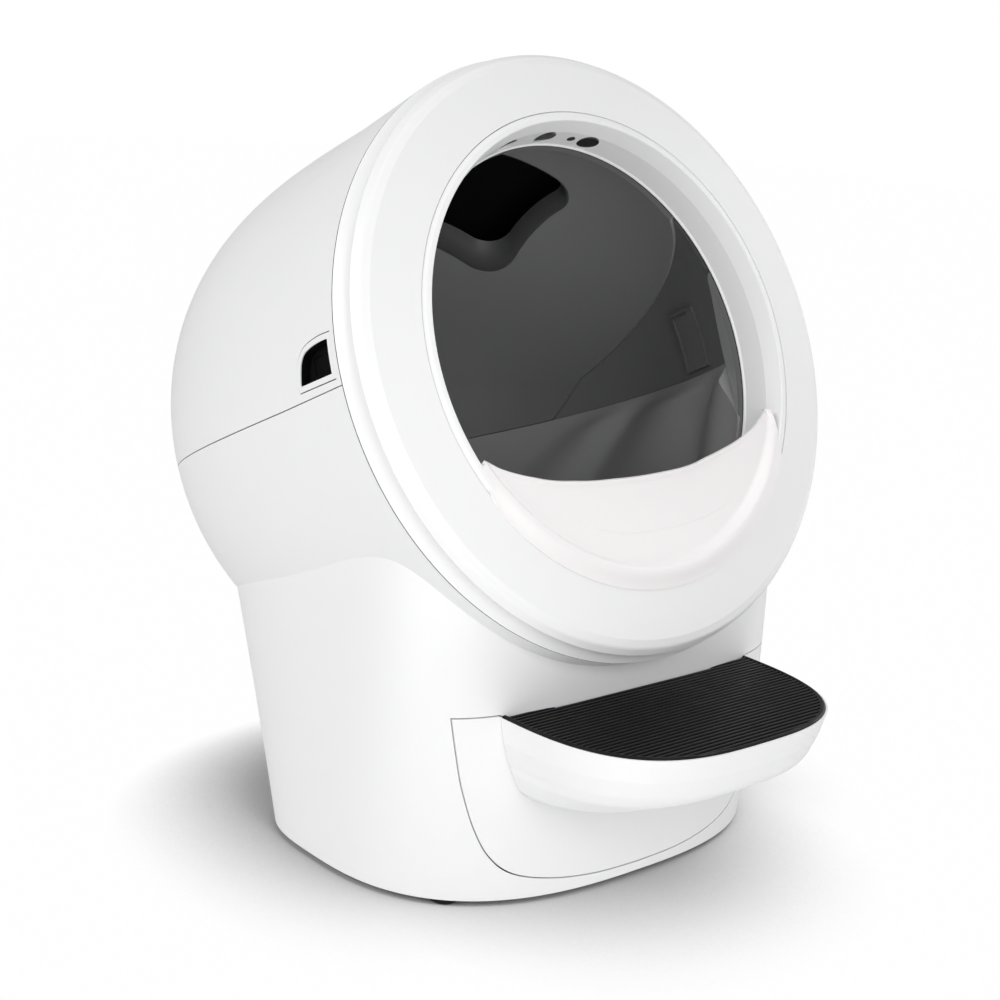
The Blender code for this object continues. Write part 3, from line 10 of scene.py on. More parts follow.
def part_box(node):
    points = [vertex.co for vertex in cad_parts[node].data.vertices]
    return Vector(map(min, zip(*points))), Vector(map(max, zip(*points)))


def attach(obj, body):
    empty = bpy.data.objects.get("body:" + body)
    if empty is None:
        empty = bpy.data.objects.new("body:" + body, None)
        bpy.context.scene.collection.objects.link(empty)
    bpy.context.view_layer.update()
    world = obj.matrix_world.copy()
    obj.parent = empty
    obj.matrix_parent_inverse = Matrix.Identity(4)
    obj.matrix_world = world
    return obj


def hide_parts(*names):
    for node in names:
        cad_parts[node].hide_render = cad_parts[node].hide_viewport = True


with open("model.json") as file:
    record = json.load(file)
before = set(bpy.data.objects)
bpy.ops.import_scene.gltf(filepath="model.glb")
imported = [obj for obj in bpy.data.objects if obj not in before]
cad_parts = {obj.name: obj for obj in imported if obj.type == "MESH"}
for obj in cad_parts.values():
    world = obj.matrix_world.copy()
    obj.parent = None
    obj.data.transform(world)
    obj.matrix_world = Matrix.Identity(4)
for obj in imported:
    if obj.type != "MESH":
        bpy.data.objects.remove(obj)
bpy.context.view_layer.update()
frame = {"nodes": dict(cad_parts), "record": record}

NODES = frame["nodes"]

# Places that the frame gives
RIM_LOW, RIM_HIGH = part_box("bezel_ring")
INSIDE_BOX = 0.0001
BARREL_RADIUS = RIM_HIGH.x - INSIDE_BOX
BARREL_FRONT = 0.0190
TILT = math.radians(24.5)
RING_HEIGHT = RIM_LOW.z + BARREL_RADIUS * math.cos(TILT) + BARREL_FRONT * math.sin(TILT)
STEP_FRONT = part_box("step_body")[0].y
STEP_REACH = 0.1695
STEP_CENTRE_Y = STEP_FRONT + STEP_REACH
RING_Y = STEP_CENTRE_Y + 0.066
GLOBE_FRAME = Matrix.Translation((0, RING_Y, RING_HEIGHT)) @ Matrix.Rotation(math.pi / 2 - TILT, 4, "X")

# How finely the visible skins are drawn
AROUND = 240
DOME_RINGS = 40
FILLET_STEPS = 5
FILLET_REACH = 0.49

# Clearances between neighbours
SEAM = 0.0003
DRAWER_GAP = 0.0010
SPLIT_GAP = 0.0011
RIM_GAP = 0.0010
OVERRUN = 0.03
WALL = 0.003
EDGE_ROUNDING = 0.0005

# Barrel
BARREL_TAPER = 0.0041
BARREL_STRAIGHT = 0.119
BARREL_DEPTH = 0.4442
BARREL_ROUNDING = 3.58
RIM_REAR = -BARREL_FRONT - RIM_GAP
SPLIT_OFFSET = 0.0076

# Column
COLUMN_Y = RING_Y + 0.0878
SHELL_FLOOR_GAP = 0.006
SHOULDER_HEIGHT = 0.300
COLUMN_HALF = (0.2386, 0.2416)
COLUMN_FRONT = (0.1885, 0.1464)
COLUMN_REAR = (0.1400, 0.3050)
FRONT_ROUNDING = (2.61, 5.07)
REAR_ROUNDING = 3.2
COLUMN_TOP = 0.345
COLUMN_TOP_SLOPE = 0.244

# Globe
GLOBE_RADIUS = 0.2475
GLOBE_CENTRE = 0.165
GLOBE_FRONT = 0.029
GLOBE_REAR = GLOBE_CENTRE + GLOBE_RADIUS
GLOBE_WALL = 0.003
GLOBE_SEAM = 0.012
LINING = 0.0028
LINING_OUTER = GLOBE_RADIUS - GLOBE_WALL - SEAM
LINING_FRONT = 0.0249
LIP_DEPTH = 0.0310
LIP_RADIUS = 0.2014
LIP_OUTER = 0.2038
LIP_OUTER_DEPTH = 0.0292


# Meshes from points

def mesh_of(points, faces):
    """Closed mesh with its faces turned outwards."""
    mesh = bpy.data.meshes.new("skin")
    mesh.from_pydata([tuple(p) for p in points], [], faces)
    mesh.update()
    return facing_out(mesh)


def lofted(rows, capped=True):
    """Skin over rings of equal length; the ends are filled, or the last ring joins the first."""
    count = len(rows[0])
    points = [p for row in rows for p in row]
    pairs = [(k, k + 1) for k in range(len(rows) - 1)]
    if not capped:
        pairs.append((len(rows) - 1, 0))
    faces = []
    for low, high in pairs:
        for k in range(count):
            n = (k + 1) % count
            faces.append((low * count + k, low * count + n, high * count + n, high * count + k))
    if capped:
        faces.append(tuple(reversed(range(count))))
        faces.append(tuple(range((len(rows) - 1) * count, len(rows) * count)))
    return mesh_of(points, faces)


def facing_out(mesh):
    bm = bmesh.new()
    bm.from_mesh(mesh)
    bmesh.ops.recalc_face_normals(bm, faces=bm.faces[:])
    if bm.calc_volume(signed=True) < 0:
        bmesh.ops.reverse_faces(bm, faces=bm.faces[:])
    bm.to_mesh(mesh)
    bm.free()
    return mesh


def turned(profile, steps=AROUND):
    """Turns (radius, place) points round the axis; a point on the axis closes the skin there."""
    share = 2 * math.pi / steps
    circle = [(math.cos(k * share), math.sin(k * share)) for k in range(steps)]
    points, rows = [], []
    for radius, place in profile:
        if radius <= 0:
            rows.append([len(points)] * steps)
            points.append((0, 0, place))
        else:
            rows.append([len(points) + k for k in range(steps)])
            points += [(radius * c, radius * s, place) for c, s in circle]
    faces = []
    for row, after in zip(rows, rows[1:] + rows[:1]):
        for k in range(steps):
            n = (k + 1) % steps
            corners = []
            for corner in (row[k], row[n], after[n], after[k]):
                if corner not in corners:
                    corners.append(corner)
            if len(corners) > 2:
                faces.append(tuple(corners))
    return mesh_of(points, faces)


def filleted(corners, steps=FILLET_STEPS, closed=True):
    """Outline whose (x, y, radius) corners are rounded; a radius of 0 stays sharp."""
    points = []
    count = len(corners)
    for k, (x, y, radius) in enumerate(corners):
        here = Vector((x, y))
        ends = not closed and k in (0, count - 1)
        if radius <= 0 or ends:
            points.append((x, y))
            continue
        before = Vector(corners[k - 1][:2]) - here
        after = Vector(corners[(k + 1) % count][:2]) - here
        half = before.angle(after) / 2
        reach = min(radius / math.tan(half), before.length * FILLET_REACH, after.length * FILLET_REACH)
        real = reach * math.tan(half)
        before.normalize()
        after.normalize()
        centre = here + (before + after).normalized() * real / math.sin(half)
        start = here + before * reach - centre
        end = here + after * reach - centre
        sweep = start.angle(end)
        for i in range(steps + 1):
            share = i / steps
            if sweep < 1e-4:
                spoke = start.lerp(end, share)
            else:
                a, b = math.sin((1 - share) * sweep), math.sin(share * sweep)
                spoke = (start * a + end * b) / math.sin(sweep)
            points.append(tuple(centre + spoke))
    return points


def prism(outline, low, high, axis=2):
    """Outline in two coordinates, drawn out along the third one, the axis, between two levels."""
    return lofted([[(*p[:axis], level, *p[axis:]) for p in outline] for level in (low, high)])


def block(low, high):
    corners = [(low[0], low[1]), (high[0], low[1]), (high[0], high[1]), (low[0], high[1])]
    return prism(corners, low[2], high[2])


def beside(plane, above, reach=1.0):
    """Large block over or under a level plane, in the globe's frame."""
    if above:
        return block((-reach, plane, -reach), (reach, reach, reach))
    return block((-reach, -reach, -reach), (reach, plane, reach))


def turn(degrees, axis):
    return Matrix.Rotation(math.radians(degrees), 4, axis)


def moved(mesh, matrix):
    mesh.transform(matrix)
    return mesh


def tilted(mesh):
    """Moves a mesh from the globe's frame to the world."""
    return moved(mesh, GLOBE_FRAME)


def added(name, data):
    """New object in the scene."""
    item = bpy.data.objects.new(name, data)
    bpy.context.scene.collection.objects.link(item)
    return item


def combined(first, second, operation):
    """Boolean of two meshes with the exact solver. Both are used up."""
    pair = [added("work", mesh) for mesh in (first, second)]
    modifier = pair[0].modifiers.new("join", "BOOLEAN")
    modifier.operation = operation
    modifier.object = pair[1]
    modifier.solver = "EXACT"
    bpy.context.view_layer.update()
    evaluated = pair[0].evaluated_get(bpy.context.evaluated_depsgraph_get())
    result = bpy.data.meshes.new_from_object(evaluated)
    for item in pair:
        mesh = item.data
        bpy.data.objects.remove(item, do_unlink=True)
        bpy.data.meshes.remove(mesh)
    return result


def cut(mesh, *cutters):
    for cutter in cutters:
        mesh = combined(mesh, cutter, "DIFFERENCE")
    return mesh


def fused(mesh, *others):
    for other in others:
        mesh = combined(mesh, other, "UNION")
    return mesh


def common(mesh, other):
    return combined(mesh, other, "INTERSECT")


def grown(outline, margin):
    """Moves each side of a closed outline outwards by the margin."""
    area = sum(a[0] * b[1] - b[0] * a[1] for a, b in zip(outline, outline[1:] + outline[:1]))
    sense = math.copysign(1.0, area)
    normals = []
    for a, b in zip(outline, outline[1:] + outline[:1]):
        side = Vector((b[0] - a[0], b[1] - a[1])).normalized()
        normals.append(Vector((side.y, -side.x)) * sense)
    points = []
    for k, point in enumerate(outline):
        before, after = normals[k - 1], normals[k]
        points.append(tuple(Vector(point) + (before + after) * margin / (1 + before.dot(after))))
    return points


def curve_value(points, place):
    """Reads a smooth curve through (place, value) points."""
    places = [point[0] for point in points]
    k = min(max(np.searchsorted(places, place) - 1, 0), len(points) - 2)
    (x0, y0), (x1, y1) = points[k], points[k + 1]
    before, after = points[max(k - 1, 0)], points[min(k + 2, len(points) - 1)]
    slope0 = (y1 - before[1]) / (x1 - before[0])
    slope1 = (after[1] - y0) / (after[0] - x0)
    t = min(max((place - x0) / (x1 - x0), 0), 1)
    span = x1 - x0
    return (y0 * (1 + 2 * t) * (1 - t) ** 2 + slope0 * span * t * (1 - t) ** 2
            + y1 * t * t * (3 - 2 * t) - slope1 * span * t * t * (1 - t))


def smooth_line(points, steps):
    """Points of a smooth line through the given ones."""
    across = [(k, point[0]) for k, point in enumerate(points)]
    along = [(k, point[1]) for k, point in enumerate(points)]
    total = (len(points) - 1) * steps
    return [(curve_value(across, k / steps), curve_value(along, k / steps)) for k in range(total + 1)]


def eased(value, low, high):
    """Rises smoothly from 0 at low to 1 at high."""
    share = min(max((value - low) / (high - low), 0), 1)
    return share * share * (3 - 2 * share)


def box_outline(x_low, x_high, y_low, y_high, radius):
    corners = ((x_high, y_high), (x_low, y_high), (x_low, y_low), (x_high, y_low))
    return filleted([(x, y, radius) for x, y in corners])


# The outer surfaces as formulas, for their points and for their normals

def between(pair, height):
    """Reads a (foot, shoulder) pair of the column at a height."""
    return pair[0] + (pair[1] - pair[0]) * height / SHOULDER_HEIGHT


def barrel_radius(depth):
    straight = min(max((depth - BARREL_FRONT) / (BARREL_STRAIGHT - BARREL_FRONT), 0), 1)
    radius = BARREL_RADIUS - BARREL_TAPER * straight
    share = min(max((depth - BARREL_STRAIGHT) / (BARREL_DEPTH - BARREL_STRAIGHT), 0), 1)
    return radius * (1 - share ** BARREL_ROUNDING) ** (1 / BARREL_ROUNDING)


def barrel_profile(inset, front):
    points = [(BARREL_RADIUS - inset, front)]
    if front > -BARREL_FRONT:
        points.append((BARREL_RADIUS - inset, -BARREL_FRONT))
    rear = BARREL_RADIUS - BARREL_TAPER
    length = BARREL_DEPTH - BARREL_STRAIGHT
    for k in range(DOME_RINGS):
        share = math.sin(0.5 * math.pi * k / DOME_RINGS) ** (2 / BARREL_ROUNDING)
        radius = rear * math.cos(0.5 * math.pi * k / DOME_RINGS) ** (2 / BARREL_ROUNDING)
        points.append((radius * (1 - inset / rear), -BARREL_STRAIGHT - share * (length - inset)))
    points.append((0, -BARREL_DEPTH + inset))
    return points


def barrel_solid(inset, front):
    return turned([(0, front)] + barrel_profile(inset, front))


def squared(value, rounding):
    """A sine or cosine bent so that an ellipse becomes squarish."""
    return math.copysign(abs(value) ** (2 / rounding), value)


def column_sizes(height):
    half, front, rear = (between(pair, height) for pair in (COLUMN_HALF, COLUMN_FRONT, COLUMN_REAR))
    return half, front, rear, between(FRONT_ROUNDING, height)


def column_outline(height, inset, count=AROUND):
    half, front, rear, rounding = column_sizes(height)
    points = []
    for k in range(count):
        angle = 2 * math.pi * (k + 0.5) / count
        c, s = math.cos(angle), math.sin(angle)
        power = REAR_ROUNDING if s > 0 else rounding
        reach = (rear if s > 0 else front) - inset
        points.append(((half - inset) * squared(c, power), COLUMN_Y + reach * squared(s, power)))
    return points


def sliced(mesh, point, normal):
    """Takes away what lies in front of a plane and fills the opening."""
    bm = bmesh.new()
    bm.from_mesh(mesh)
    geometry = bm.verts[:] + bm.edges[:] + bm.faces[:]
    bmesh.ops.bisect_plane(bm, geom=geometry, plane_co=point, plane_no=normal, clear_outer=True)
    bmesh.ops.holes_fill(bm, edges=[edge for edge in bm.edges if edge.is_boundary], sides=0)
    bm.to_mesh(mesh)
    bm.free()
    return facing_out(mesh)


def column_solid(inset, low, drop=0, rings=12):
    """The tapered column from a height up to its sloping top, as a full solid."""
    heights = [low + (COLUMN_TOP - low) * k / rings for k in range(rings + 1)]
    mesh = lofted([[(x, y, z) for x, y in column_outline(z, inset)] for z in heights])
    shoulder = Vector((0, COLUMN_Y - COLUMN_FRONT[1], COLUMN_TOP - drop))
    return sliced(mesh, shoulder, Vector((0, COLUMN_TOP_SLOPE, 1)).normalized())


def in_globe_frame(points):
    back = GLOBE_FRAME.inverted()
    return points @ np.array(back.to_3x3()).T + np.array(back.translation)


def barrel_field(points, inset):
    """Signed distance, about, from the barrel's skin, and the outward direction, for world points."""
    local = in_globe_frame(points)
    radius = np.hypot(local[:, 0], local[:, 1]) + 1e-9
    depth = -local[:, 2]
    rear = BARREL_RADIUS - BARREL_TAPER - inset
    slope = BARREL_TAPER / (BARREL_STRAIGHT - BARREL_FRONT)
    taper = np.clip(BARREL_STRAIGHT - depth, 0, BARREL_STRAIGHT - BARREL_FRONT) * slope
    length = BARREL_DEPTH - BARREL_STRAIGHT - inset
    share = np.clip(depth - BARREL_STRAIGHT, 0, None) / length
    n = BARREL_ROUNDING
    value = (radius / rear) ** n + share ** n - 1
    out = n * (radius / rear) ** (n - 1) / rear
    back = n * share ** (n - 1) / length
    front = share <= 0
    distance = np.where(front, radius - rear - taper, value / np.hypot(out, back))
    out = np.where(front, 1.0, out)
    back = np.where(front, np.where(depth > BARREL_FRONT, slope, 0), back)
    size = np.hypot(out, back)
    direction = [out * local[:, 0] / radius, out * local[:, 1] / radius, -back]
    direction = np.stack(direction, 1) / size[:, None]
    return distance, direction @ np.array(GLOBE_FRAME.to_3x3()).T


def column_field(points, inset):
    def value(p):
        half, front, rear, rounding = column_sizes(p[:, 2])
        y = p[:, 1] - COLUMN_Y
        power = np.where(y > 0, REAR_ROUNDING, rounding)
        reach = np.where(y > 0, rear - inset, front - inset)
        return (np.abs(p[:, 0]) / (half - inset)) ** power + (np.abs(y) / reach) ** power - 1

    step = 1e-5
    slopes = []
    for axis in range(3):
        shift = np.zeros(3)
        shift[axis] = step
        slopes.append((value(points + shift) - value(points - shift)) / (2 * step))
    slopes = np.stack(slopes, 1)
    size = np.linalg.norm(slopes, axis=1) + 1e-9
    return value(points) / size, slopes / size[:, None]


def vertex_places(mesh):
    places = np.empty(len(mesh.vertices) * 3)
    mesh.vertices.foreach_get("co", places)
    return places.reshape(-1, 3)


def skins(field, outer, inner):
    """Outer and inner side of a wall whose surfaces are one formula at two insets."""
    return (field, outer, 1), (field, inner, -1)


def smoothed_by(mesh, fields, tolerance=0.00025):
    """Gives each face that lies on one of the fields that field's own normals; others keep their own."""
    places = vertex_places(mesh)
    found = [field(places, inset) + (sign,) for field, inset, sign in fields]
    mesh.shade_smooth()
    normals = np.zeros((len(mesh.loops), 3))
    for polygon in mesh.polygons:
        corners = list(polygon.vertices)
        facing = np.array(polygon.normal)
        normals[polygon.loop_indices] = facing
        for distance, direction, sign in found:
            if np.abs(distance[corners]).max() < tolerance:
                if (direction[corners] @ facing * sign).min() > 0.8:
                    normals[polygon.loop_indices] = direction[corners] * sign
                break
    mesh.normals_split_custom_set(normals.tolist())


# Finishes

class Maths:
    """A socket in a shader sum: the plus sign adds a Math node."""

    def __init__(self, nodes, socket):
        self.nodes = nodes
        self.socket = socket

    def __add__(self, other):
        return self.nodes.node("Math", {"operation": "ADD"}, {0: self, 1: other})

    __radd__ = __add__


class Nodes:
    """A shader tree; node() adds any node to it, with its settings first and then its sockets."""

    def __init__(self, tree):
        self.tree = tree

    def node(self, kind, settings, sockets, output=0):
        made = self.tree.nodes.new("ShaderNode" + kind)
        for name, value in settings.items():
            setattr(made, name, value)
        for name, value in sockets.items():
            if isinstance(value, Maths):
                self.tree.links.new(value.socket, made.inputs[name])
            else:
                made.inputs[name].default_value = value
        return Maths(self, made.outputs[output])

    def end(self, name, value):
        """Leads a value to the surface of the tree's output node."""
        self.tree.links.new(value.socket, self.tree.nodes[name].inputs["Surface"])


class Finish(Nodes):
    """A material with its Principled shader."""

    def __init__(self, name, colour, roughness, **constants):
        self.material = bpy.data.materials.new(name)
        self.material.use_nodes = True
        super().__init__(self.material.node_tree)
        self.shader = self.tree.nodes["Principled BSDF"]
        self.shader.inputs["Base Color"].default_value = (*colour, 1.0)
        self.shader.inputs["Roughness"].default_value = roughness
        self.material.diffuse_color = (*colour, 1.0)
        for name, value in constants.items():
            self.shader.inputs[name.replace("_", " ").title().replace("Ior", "IOR")].default_value = value
        self.place = self.node("TexCoord", {}, {}, "Object")

    def feed(self, socket, value):
        self.tree.links.new(value.socket, self.shader.inputs[socket])

    def noise(self, scale, detail=2.0, roughness=0.5):
        return self.node("TexNoise", {}, {
            "Vector": self.place, "Scale": scale, "Detail": detail, "Roughness": roughness})

    def mapped(self, value, low, high, out_low, out_high):
        return self.node("MapRange", {"clamp": True}, {
            "Value": value, "From Min": low, "From Max": high, "To Min": out_low, "To Max": out_high})

    def mixed(self, factor, first, second):
        return self.node("Mix", {"data_type": "RGBA"}, {0: factor, 6: (*first, 1.0), 7: (*second, 1.0)}, 2)


def shade(colour, by):
    return tuple(min(channel * by, 1.0) for channel in colour)


def moulded(name, colour, roughness, grain, grain_scale, spread, **constants):
    """Moulded plastic: a fine spark grain, faint flow clouds in the colour and patches of gloss."""
    made = Finish(name, colour, roughness, **constants)
    clouds = made.noise(7.0, 3.0)
    fine = made.noise(grain_scale, 2.0, 0.6)
    scuffs = made.noise(55.0, 4.0, 0.65)
    made.feed("Base Color", made.mixed(clouds, shade(colour, 1 - spread), shade(colour, 1 + spread)))
    made.feed("Roughness", made.mapped(scuffs, 0.3, 0.7, roughness - 0.05, roughness + 0.06))
    made.feed("Normal", made.node("Bump", {}, {"Height": fine, "Distance": grain, "Strength": 1.0}))
    return made


# By slot, or by the place of a slot's other finish: name, colour, roughness, depth and fineness of the
# grain, spread of the colour, and what else the shader needs
SURFACES = {
    "white_plastic": ("satin_white_shell", (0.88, 0.88, 0.885), 0.40, 0.00006, 1400.0, 0.004, {}),
    "fence_plastic": ("blush_white_fence", (0.90, 0.872, 0.878), 0.42, 0.00005, 1500.0, 0.004, {}),
    "dark_plastic": ("charcoal_globe_wall", (0.165, 0.166, 0.168), 0.50, 0.00008, 1100.0, 0.04, {}),
    "black_plastic": ("black_trim", (0.012, 0.012, 0.013), 0.42, 0.00006, 1300.0, 0.08, {}),
    "inner_plastic": ("grey_inner_frame", (0.44, 0.445, 0.45), 0.5, 0.00008, 900.0, 0.03, {}),
    "liner_rubber": ("soft_litter_liner", (0.32, 0.321, 0.322), 0.62, 0.00012, 800.0, 0.04, {}),
    "mat_rubber": ("black_mat_rubber", (0.0045, 0.0045, 0.0048), 0.42, 0.00010, 1200.0, 0.08,
                   {"specular_ior_level": 0.18}),
    "seal_foam": ("closed_cell_foam", (0.03, 0.03, 0.03), 0.9, 0.0003, 600.0, 0.1, {}),
    "steel": ("brushed_steel", (0.55, 0.56, 0.58), 0.32, 0.00005, 700.0, 0.04, {"metallic": 1.0}),
    "board_green": ("lacquered_board", (0.02, 0.12, 0.05), 0.35, 0.00005, 500.0, 0.1, {}),
    # painted shade: near-black for the shells' inner sides and flat front edges, standing in for the shade
    # there
    "shadowed": ("shadowed_inner_side", (0.008, 0.008, 0.0085), 0.8, 0.00005, 900.0, 0.05,
                 {"specular_ior_level": 0.1}),
    "lining": ("grey_port_panel", (0.25, 0.251, 0.253), 0.50, 0.00008, 1100.0, 0.04, {}),
    "port": ("dark_port_neck", (0.085, 0.086, 0.088), 0.45, 0.00008, 1100.0, 0.04, {}),
    "cup": ("deep_black_cup", (0.002, 0.002, 0.0022), 0.8, 0.00004, 1200.0, 0.05,
            {"specular_ior_level": 0.12}),
}
# Painted light: the upper lining is paler towards its top, standing in for the light that falls there;
# heights in metres and the colours there
PAINTED_LIGHT_HEIGHTS = (0.38, 0.64)
PAINTED_LIGHT_COLOURS = ((0.165, 0.166, 0.168), (0.36, 0.361, 0.363))
LENS_COLOURS = ((0.004, 0.004, 0.006), (0.010, 0.009, 0.012))


def build_finishes():
    made = {slot: moulded(*values, **more) for slot, (*values, more) in SURFACES.items()}
    lining = made["lining"]
    # painted light: the lining's colour turns paler with height
    height = lining.node("SeparateXYZ", {}, {0: lining.place}, "Z")
    lining.feed("Base Color", lining.mixed(lining.mapped(height, *PAINTED_LIGHT_HEIGHTS, 0.0, 1.0), *PAINTED_LIGHT_COLOURS))
    lens = Finish("smoked_sensor_lens", (0.006, 0.006, 0.008), 0.12, coat_weight=1.0, coat_roughness=0.05)
    lens.feed("Base Color", lens.mixed(lens.noise(300.0), *LENS_COLOURS))
    made["lens"] = lens
    return made


FINISHES = build_finishes()


def piece(name, mesh, body, slot, replaced=(), finish=None, smooth=32.0, fields=None):
    """
    One visible piece: meshed in world metres, riding on a body and standing for CAD nodes.
    Its finish is the slot's, unless another one is named. Its normals come from fields, where given.
    """
    item = added(name, mesh)
    mesh.materials.clear()
    mesh.materials.append(FINISHES[finish or slot].material)
    if fields:
        smoothed_by(mesh, fields)
    else:
        mesh.shade_smooth()
        mesh.set_sharp_from_angle(angle=math.radians(smooth))
        shading = item.modifiers.new("even_shading", "WEIGHTED_NORMAL")
        shading.keep_sharp = True
    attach(item, body)
    if replaced:
        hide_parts(*replaced)
    return item


def softened(item, angle=40.0):
    """Rounds the sharp edges of a piece."""
    edge = item.modifiers.new("soft_edge", "BEVEL")
    edge.width = EDGE_ROUNDING
    edge.segments = 2
    edge.limit_method = "ANGLE"
    edge.angle_limit = math.radians(angle)
    edge.harden_normals = False


# Body shells

def outer_barrel():
    """The barrel as a full solid behind the cover ring."""
    return barrel_solid(0, RIM_REAR)


FRONT_TOLERANCE = 0.0001
WALL_TOLERANCE = 0.0004


def painted_shade_inside(item, wall, front):
    """
    Paints near-black shade on a shell's inner side, at its wall, and on its flat front edge, where shade
    falls.
    A lining has no wall here, and its lip at the entry is grey.
    """
    mesh = item.data
    # painted shade: this near-black finish goes on the inner side and the front edge
    mesh.materials.append(FINISHES["shadowed"].material)
    mesh.materials.append(FINISHES["dark_plastic"].material)
    places = vertex_places(mesh)
    local = in_globe_frame(places)
    inside = np.abs(local[:, 2] - front) < FRONT_TOLERANCE
    if wall:
        for field in (barrel_field, column_field):
            inside |= np.abs(field(places, wall)[0]) < WALL_TOLERANCE
    lip = (local[:, 2] > -LIP_DEPTH - SEAM) & (np.hypot(local[:, 0], local[:, 1]) < LIP_RADIUS + SEAM)
    for polygon in mesh.polygons:
        corners = list(polygon.vertices)
        if inside[corners].all():
            polygon.material_index = 1
        elif not wall and lip[corners].all():
            polygon.material_index = 2


SHELL_FIELDS = ((barrel_field, 0.0, 1), (column_field, 0.0, 1),
                (barrel_field, WALL, -1), (column_field, WALL, -1))


# Right half of the drawer panel's outline in (x, z), from the middle of its lower edge to its top corner
DRAWER_EDGE = ((0.0, 0.0145), (0.050, 0.0158), (0.0950, 0.0200), (0.1310, 0.0272), (0.1505, 0.0362),
               (0.1638, 0.0497), (0.1725, 0.0645), (0.1812, 0.0862), (0.1878, 0.1090), (0.1915, 0.1245),
               (0.1960, 0.1510), (0.2003, 0.1795))
# The panel's top edge dips below the mat, which hides the seam between its corners
DRAWER_DIP = ((0.1600, 0.1795), (0.1520, 0.1772))


def drawer_block(inset):
    """The drawer panel's outline as a block that reaches back from the step's front."""
    right = smooth_line(DRAWER_EDGE, 6) + list(DRAWER_DIP)
    left = [(-x, z) for x, z in reversed(right[1:])]
    return prism(grown(right + left, -inset), STEP_FRONT, RING_Y, 1)


SOCKET_RADIUS = 0.0093
SOCKET_LENGTH = 0.08


def make_base_shell():
    outer = common(outer_barrel(), beside(-SPLIT_OFFSET - SPLIT_GAP / 2, False))
    shell = fused(tilted(outer), column_solid(0, SHELL_FLOOR_GAP))
    low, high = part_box("power_inlet")
    middle = (low + high) / 2
    place = Matrix.Translation((middle.x, high.y - SOCKET_LENGTH / 2, middle.z))
    socket = [(0, 0), (SOCKET_RADIUS, 0), (SOCKET_RADIUS, SOCKET_LENGTH), (0, SOCKET_LENGTH)]
    shell = cut(shell, tilted(barrel_solid(WALL, OVERRUN * 2)),
                column_solid(WALL, SHELL_FLOOR_GAP - OVERRUN, WALL),
                drawer_block(-DRAWER_GAP),
                tilted(controls_block()),
                moved(turned(socket, 64), place @ turn(-90, "X")))
    item = piece("lower_shell", shell, "base", "white_plastic", ["base_shell"], fields=SHELL_FIELDS)
    painted_shade_inside(item, WALL, RIM_REAR)


# Windows and panels on the barrel's sides: angle, front, back, half height
LATCH = {"angle": 4.15, "front": 0.0317, "back": 0.0803, "half": 0.0158}
LATCH_ARC = ((-0.0312, 0.0141), (-0.0410, 0.0146), (-0.0501, 0.0143), (-0.0580, 0.0136),
             (-0.0645, 0.0123), (-0.0690, 0.0107), (-0.0723, 0.0085), (-0.0748, 0.0057), (-0.0765, 0.0026),
             (-0.0779, -0.0012), (-0.0791, -0.0050), (-0.0802, -0.0092), (-0.0812, -0.0130))
LATCH_LOW = ((-0.0808, -0.0149), (-0.0312, -0.0158))
WINDOW_SINK = 0.002
FRAME_BAND = 0.0048
FRAME_GROOVE = 0.0007
FRAME_DEPTH = 0.0010
CUP_DEPTH = 0.016
CUP_WALL = 0.0020
CUP_SLACK = 0.0001
PADDLE_SINK = 0.0100
PADDLE_THICKNESS = 0.0060
PADDLE_GAP = 0.0007
# The hollow for the finger: its two sides, its rear and front place and its corners' radius
GRIP = (-0.0095, 0.0070, -0.0700, -0.0370, 0.003)
GRIP_DEPTH = 0.0018
CONTROLS = {"angle": -10.0, "front": 0.052, "back": 0.140, "half": 0.013}
CONTROLS_SINK = 0.0017


def side_face(spec, sink):
    return barrel_radius((spec["front"] + spec["back"]) / 2) - sink


def controls_block():
    """Block through the barrel's wall at the control panel, in the globe's frame."""
    half = CONTROLS["half"] + SEAM
    face = side_face(CONTROLS, CONTROLS_SINK)
    low = (face - OVERRUN, -half, -CONTROLS["back"] - SEAM)
    high = (face + OVERRUN, half, -CONTROLS["front"] + SEAM)
    return moved(block(low, high), turn(CONTROLS["angle"], "Z"))


def window_outline(margin, side, slack=0.0):
    """The finger window in (tangent, place): a square front end and a long curve to the rear corner."""
    outline = smooth_line(LATCH_ARC, 3) + list(LATCH_LOW)
    stretch = 1 + slack / LATCH["half"]
    return [(side * tangent * stretch, place) for place, tangent in grown(outline, margin)]


def latch_frame(side):
    return turn(LATCH["angle"] if side > 0 else 180 - LATCH["angle"], "Z")


def latch_block(side, margin, low, high, slack=0.0):
    return moved(prism(window_outline(margin, side, slack), low, high, 0), latch_frame(side))


def make_bonnet():
    shell = cut(outer_barrel(), barrel_solid(WALL, OVERRUN))
    shell = common(shell, beside(-SPLIT_OFFSET + SPLIT_GAP / 2, True))
    low, high = side_face(LATCH, WINDOW_SINK) - OVERRUN, BARREL_RADIUS + OVERRUN
    for side in (1, -1):
        shell = cut(shell, latch_block(side, FRAME_BAND + SEAM / 2, low, high, FRAME_GROOVE))
    item = piece("bonnet", tilted(shell), "bonnet", "white_plastic", ["bonnet_shell"],
                 fields=skins(barrel_field, 0.0, WALL))
    painted_shade_inside(item, WALL, RIM_REAR)


